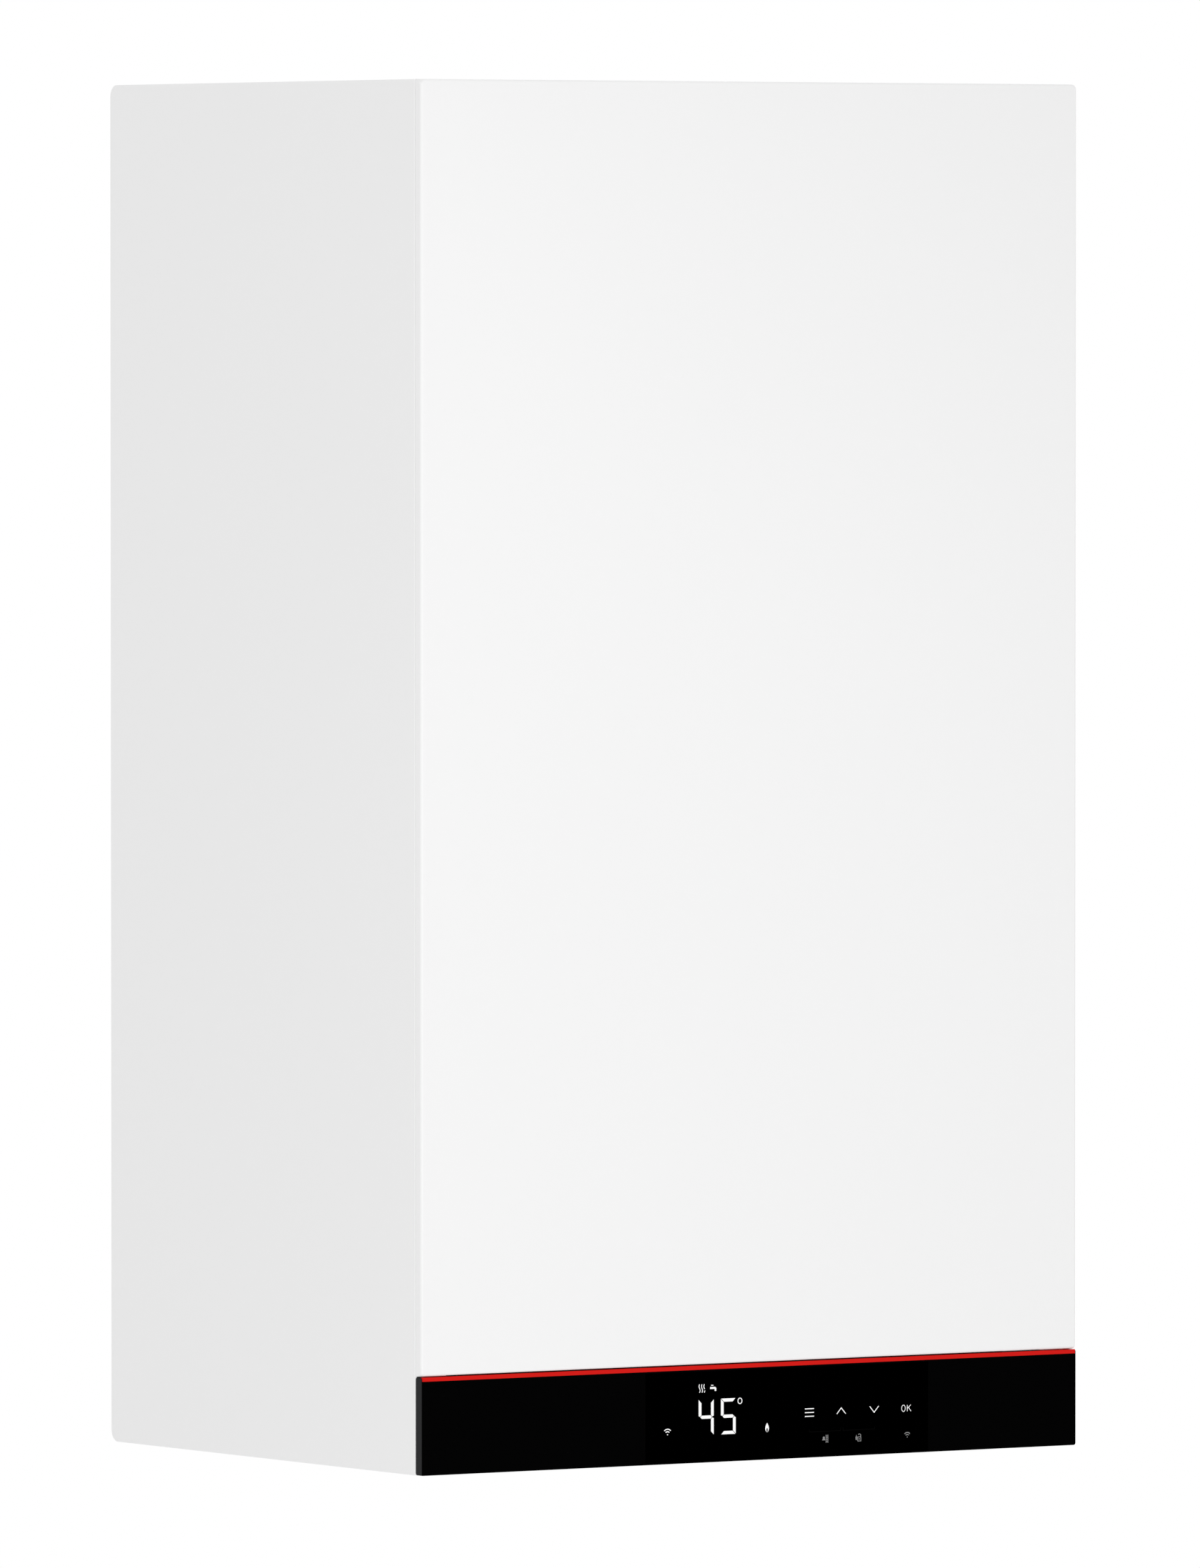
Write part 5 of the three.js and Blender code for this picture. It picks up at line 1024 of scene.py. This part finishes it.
PUMP_RADIUS = 39
PUMP_BODY_RADIUS = 36
PUMP_FINS = 30
PUMP_LUG_CIRCLE = 41
PUMP_LUG_DEPTH = 7


def add_pump_motor():
    """A finned motor can with a vent screw in the middle, a flange with four screws, and a terminal box."""
    low, high = edges_of("pump_motor")
    x, z = low.x + PUMP_RADIUS, (low.z + high.z) / 2
    centre = (x, z)
    front, back = low.y, high.y
    depth = back - front
    motor = Solid().turned("y", centre, [
        (0, depth - 30), (4.3, depth - 30), (4.3, depth), (PUMP_RADIUS, depth), (PUMP_RADIUS, depth - 6),
        (34.5, depth - 6.6), (34.5, 12), (PUMP_BODY_RADIUS, 11), (PUMP_BODY_RADIUS, 6), (33, 1.5), (29, 0),
        (17, 0), (16, 1.5), (9, 1.5), (8.5, 0.3), (0, 0.3)], base=front)
    motor.spokes(centre, PUMP_FINS, (33, PUMP_BODY_RADIUS), (back - 6, front + 11), 2)
    lugs = circle(centre, PUMP_LUG_CIRCLE, 4, start=0.5)
    for lug in lugs:
        motor.rod("y", lug, 6, back - PUMP_LUG_DEPTH, back, sides=32)
    motor.bar((x + 18, front + 14, z - 22), (high.x - 4, back - 14, z + 22))
    motor.bar((high.x - 4.5, front + 13, z - 23), (high.x, back - 13, z + 23))
    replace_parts(motor.piece("finned_pump_motor", "dark_plastic", edge=0.4), "pump_motor")
    screw_heads("pump_screws", lugs, back - PUMP_LUG_DEPTH, radius=4)
    head = [(0, -1), (7.5, -1), (7.5, 1.4), (6.5, 2.2), (0, 2.2)]
    vent = Solid().turned("y", centre, head, base=front, way=-1)
    slot = Solid().bar((x - 9, front - 4, z - 0.8), (x + 9, front - 0.9, z + 0.8))
    smooth(add_piece("pump_vent_screw", carved(vent, slot), "steel"))


WAVES = 7
WAVE_PITCH = 8
WAVE_RISE = 9  # from the ends to the middle


def add_exchanger_front():
    """Pressed herringbone on the front plate of the stack."""
    low, high = edges_of("plate_heat_exchanger")
    waves = Solid()
    for i in range(WAVES):
        z = low.z + 7 + WAVE_PITCH * i
        outline = stroke([(low.x + 9, z), (0, z + WAVE_RISE), (high.x - 9, z)], 2.6)
        waves.prism("y", outline, low.y - 1.1, low.y + 0.3)
    waves.piece("pressed_waves", "steel", edge=0.45)


MANIFOLD_BLOCK = 40  # height of the brass block, without the connections below it
TEST_PORTS = (66, 108)  # from the middle of the boiler


def add_manifold_trim():
    """Closed test ports on the blocks' fronts, the outer ones with a sensor's plug."""
    trim = Solid()
    plugs = Solid()
    for node, side in (("flow_manifold", -1), ("return_manifold", 1)):
        low, high = edges_of(node)
        middle = high.z - MANIFOLD_BLOCK / 2
        for x in TEST_PORTS:
            add_nut(trim, "y", (side * x, middle), low.y, low.y - 7, 9)
        x = side * TEST_PORTS[-1]
        plugs.rod("y", (x, middle), 7, low.y - 7, low.y - 12, sides=32)
        plugs.bar((x - 7, low.y - 24, middle - 5), (x + 7, low.y - 11, middle + 7))
        plugs.bar((x - 4, low.y - 20, middle + 7), (x + 4, low.y - 13, middle + 9))
    trim.piece("manifold_plugs", "brass", edge=0.35)
    plugs.piece("sensor_plugs", "dark_plastic", edge=0.6)


def add_diverter_lid():
    low, high = edges_of("diverter_motor")
    front = low.y - 3
    outline = rounded_rectangle((low.x + 2, high.x - 2), (low.z + 2, high.z - 2), 8)
    lid = Solid().prism("y", outline, front, low.y)
    lid.bar((low.x + 14, low.y + 8, low.z - 6), (high.x - 14, low.y + 28, low.z + 1))
    lid.piece("diverter_lid", "dark_plastic", edge=0.8)
    corners = [(x, z) for x in (low.x + 9, high.x - 9) for z in (low.z + 9, high.z - 9)]
    screw_heads("diverter_screws", corners, front, radius=2.6)


VESSEL_RIM = 4
VESSEL_RIM_WIDTH = 5
VESSEL_ROUNDING = 18
VESSEL_CORNER = 36
VESSEL_STANDOFF = 12.5  # shells' back to the feet's ends
VESSEL_FOOT_INSET = 80
VESSEL_FOOT_RADIUS = 9


def vessel_feet():
    low, high = edges_of("expansion_vessel")
    x = (low.x + high.x) / 2
    return [(x, low.z + VESSEL_FOOT_INSET), (x, high.z - VESSEL_FOOT_INSET)]


def add_vessel():
    """Two pressed shells that meet in a clamped rim, on two feet."""
    low, high = edges_of("expansion_vessel")
    x = (low.x + high.x) / 2
    back = high.y - VESSEL_STANDOFF
    ys = (low.y + VESSEL_RIM, back - VESSEL_RIM)
    zs = (low.z + VESSEL_RIM, high.z - VESSEL_RIM)
    shells = Solid().prism("x", rounded_rectangle(ys, zs, VESSEL_CORNER, steps=14), low.x, high.x)
    mesh = shells.mesh
    bmesh.ops.recalc_face_normals(mesh, faces=mesh.faces)
    ends = [edge for edge in mesh.edges if abs(edge.verts[0].co.x - edge.verts[1].co.x) < WELD_DISTANCE]
    bmesh.ops.bevel(mesh, geom=ends, offset=VESSEL_ROUNDING * MM, segments=8, profile=0.5, affect="EDGES")
    rim_outline = rounded_rectangle((low.y, back), (low.z, high.z), VESSEL_CORNER + VESSEL_RIM, steps=14)
    shells.prism("x", rim_outline, x - VESSEL_RIM_WIDTH / 2, x + VESSEL_RIM_WIDTH / 2)
    for foot in vessel_feet():
        shells.rod("y", foot, VESSEL_FOOT_RADIUS, ys[1] - 1, high.y, sides=32)
    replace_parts(shells.piece("pressed_vessel", "vessel_red", edge=0.6), "expansion_vessel")


# ---- casing's fasteners and seals ----
THREAD_PITCH = 1.8
THREAD_TURNS = 8
THREAD_ROOT, THREAD_CREST = 11.05, 11.7
THREAD_CORE = 10.6  # inside the connection's wall
SEAL_PROFILE = ((11.2, -3), (13, -3), (14, -0.6), (16.5, -0.6), (16.5, 3), (13, 5.5), (11.2, 5.5))


def add_port_threads():
    """Ridges on the connections' ends, and the rubber seals that they pass through in the tray."""
    start = edges_of("flow_manifold")[0].z + 1
    floor = edges_of("bottom_tray")[0].z
    length = THREAD_PITCH * THREAD_TURNS
    profile = [(THREAD_CORE, 0)]
    for i in range(THREAD_TURNS):
        profile += [(THREAD_ROOT, THREAD_PITCH * i), (THREAD_CREST, THREAD_PITCH * (i + 0.5))]
    profile += [(THREAD_ROOT, length), (THREAD_CORE, length)]
    water = [x for x in PORTS if x]
    for name, slot, places in (("brass_threads", "brass", water), ("gas_thread", "steel", [0])):
        threads = Solid()
        for x in places:
            threads.turned("z", (x, PORT_ROW), profile, steps=48, base=start)
        threads.piece(name, slot)
    seals = Solid()
    for x in PORTS:
        seals.turned("z", (x, PORT_ROW), SEAL_PROFILE, steps=48, base=floor)
    seals.piece("port_seals", "rubber", edge=0.3)


CELL_FOOT_OFFSET = 60


def add_rear_screws():
    """Screws through the rear panel into the feet of the heat cell and the vessel."""
    back = edges_of("rear_panel")[1].y
    cell_z = middle_of("burner_door").z
    reach = (-CELL_FOOT_OFFSET, CELL_FOOT_OFFSET)
    cell_feet = [(x, cell_z + rise) for x in reach for rise in reach]
    screw_heads("rear_panel_screws", cell_feet + vessel_feet(), back, radius=5.5, way=1)


VENT_BAYS = (-135, -45, 45, 135)
VENT_SLATS = 9
VENT_PITCH = 6
SLAT_WIDTH = 3.2


def add_panel_back():
    """Vents and screws on the back of the control housing."""
    low, high = edges_of("control_housing")
    back = high.y
    slats = Solid()
    for bay in VENT_BAYS:
        for i in range(VENT_SLATS):
            left = bay + (i - (VENT_SLATS - 1) / 2) * VENT_PITCH - SLAT_WIDTH / 2
            slats.bar((left, back - 0.3, low.z + 12), (left + SLAT_WIDTH, back + 1, high.z - 12))
    slats.piece("housing_vents", "dark_plastic", edge=0.35, body="control_panel")
    places = [(x, z) for x in (low.x + 7, -6, high.x - 7) for z in (low.z + 6, high.z - 6)]
    screw_heads("housing_screws", places, back, radius=3, way=1, body="control_panel")


def add_inside():
    add_burner_door()
    add_fan()
    add_mixture_elbow()
    add_gas_valve_trim()
    add_ignition_lid()
    add_copper_pipes()
    add_hose()
    add_pump_motor()
    add_exchanger_front()
    add_manifold_trim()
    add_diverter_lid()
    add_vessel()
    add_port_threads()
    add_rear_screws()
    add_panel_back()


# ---- stage ----
FLOOR_HEIGHT = -1.0
FLOOR_RADIUS = 2.6
FLOOR_FADE_START = 0.9
FLOOR_FADE_END = FLOOR_RADIUS * 0.97
FLOOR_GREY = 0.93


def add_floor():
    """A pale disc that fades out round its rim and can't be seen from below."""
    build = bmesh.new()
    bmesh.ops.create_circle(build, cap_ends=True, segments=96, radius=FLOOR_RADIUS)
    mesh = bpy.data.meshes.new("floor")
    build.to_mesh(mesh)
    build.free()
    floor = bpy.data.objects.new("floor", mesh)
    floor.location = (0, (cad_low.y + cad_high.y) / 2, FLOOR_HEIGHT)
    bpy.context.scene.collection.objects.link(floor)
    s = Shader("pale_floor", (FLOOR_GREY,) * 3, 0.9)
    length = s.node("ShaderNodeVectorMath", {0: s.place}, operation="LENGTH").outputs["Value"]
    fade = s.spread(length, 0, 1, FLOOR_FADE_START, FLOOR_FADE_END, interpolation_type="SMOOTHSTEP")
    under = s.node("ShaderNodeNewGeometry").outputs["Backfacing"]
    clear = s.node("ShaderNodeBsdfTransparent").outputs["BSDF"]
    output = s.tree.nodes["Material Output"]
    s.mix_shaders(s.calc("MAXIMUM", fade, under), s.principled.outputs["BSDF"], clear, output)
    mesh.materials.append(s.material)


WORLD_LEVEL = 0.792
WORLD_FRONT = 0.117  # added towards the front, and taken off behind
KEY_PLACE = (-1.4, -2.6, -0.4)
KEY_TARGET = (-0.6, -0.3, -0.55)
KEY_CONE = 0.84  # radians across
KEY_EDGE = 0.6  # share of the cone that fades
KEY_SIZE = 0.25
KEY_POWER = 42.7


def add_world():
    """White to the camera and in reflections. As light it is soft, and a little stronger from the front."""
    world = bpy.data.worlds.new("studio")
    bpy.context.scene.world = world
    world.use_nodes = True
    graph = Graph(world.node_tree)
    direction = graph.node("ShaderNodeTexCoord").outputs["Generated"]
    factors = {0: direction, 1: (0, -WORLD_FRONT, 0)}
    front = graph.node("ShaderNodeVectorMath", factors, operation="DOT_PRODUCT")
    strength = graph.calc("ADD", front.outputs["Value"], WORLD_LEVEL)
    light = graph.tree.nodes["Background"]
    graph.feed(light, {"Color": (1, 1, 1, 1), "Strength": strength})
    white = graph.node("ShaderNodeBackground", {"Color": (1, 1, 1, 1)})
    path = graph.node("ShaderNodeLightPath").outputs
    seen = path["Is Camera Ray"]
    for kind in ("Is Glossy Ray", "Is Transmission Ray"):
        seen = graph.calc("MAXIMUM", seen, path[kind])
    output = graph.tree.nodes["World Output"]
    graph.mix_shaders(seen, light.outputs["Background"], white.outputs["Background"], output)


def aim(thing, place, direction):
    thing.location = place
    thing.rotation_mode = "QUATERNION"
    thing.rotation_quaternion = direction.to_track_quat("-Z", "Y")
    bpy.context.scene.collection.objects.link(thing)


def add_key():
    """A soft spot from the lower left, which leaves the upper right corner a little darker."""
    lamp = bpy.data.lights.new("key", "SPOT")
    lamp.energy = KEY_POWER
    lamp.spot_size = KEY_CONE
    lamp.spot_blend = KEY_EDGE
    lamp.shadow_soft_size = KEY_SIZE
    aim(bpy.data.objects.new("key", lamp), KEY_PLACE, Vector(KEY_TARGET) - Vector(KEY_PLACE))


# The camera comes from the photograph's vanishing points.
PHOTO_HEIGHT = 2196
FOCAL_PIXELS = 22613.8
SENSOR = 36  # millimetres on the long side
CAMERA_PLACE = (-4.55603, -7.10517, -0.04624)
CAMERA_YAW = math.radians(33.2466)
CAMERA_TILT = math.radians(1.7472)  # downwards


def add_camera():
    data = bpy.data.cameras.new("camera")
    data.sensor_width = SENSOR
    data.lens = FOCAL_PIXELS / PHOTO_HEIGHT * SENSOR
    data.clip_end = 100
    camera = bpy.data.objects.new("camera", data)
    level = math.cos(CAMERA_TILT)
    forward = Vector((math.sin(CAMERA_YAW) * level, math.cos(CAMERA_YAW) * level, -math.sin(CAMERA_TILT)))
    aim(camera, CAMERA_PLACE, forward)
    bpy.context.scene.camera = camera


add_camera()
add_floor()
add_world()
add_key()
bpy.context.scene.view_settings.view_transform = "Standard"

dress_nodes()
add_display()
add_inside()
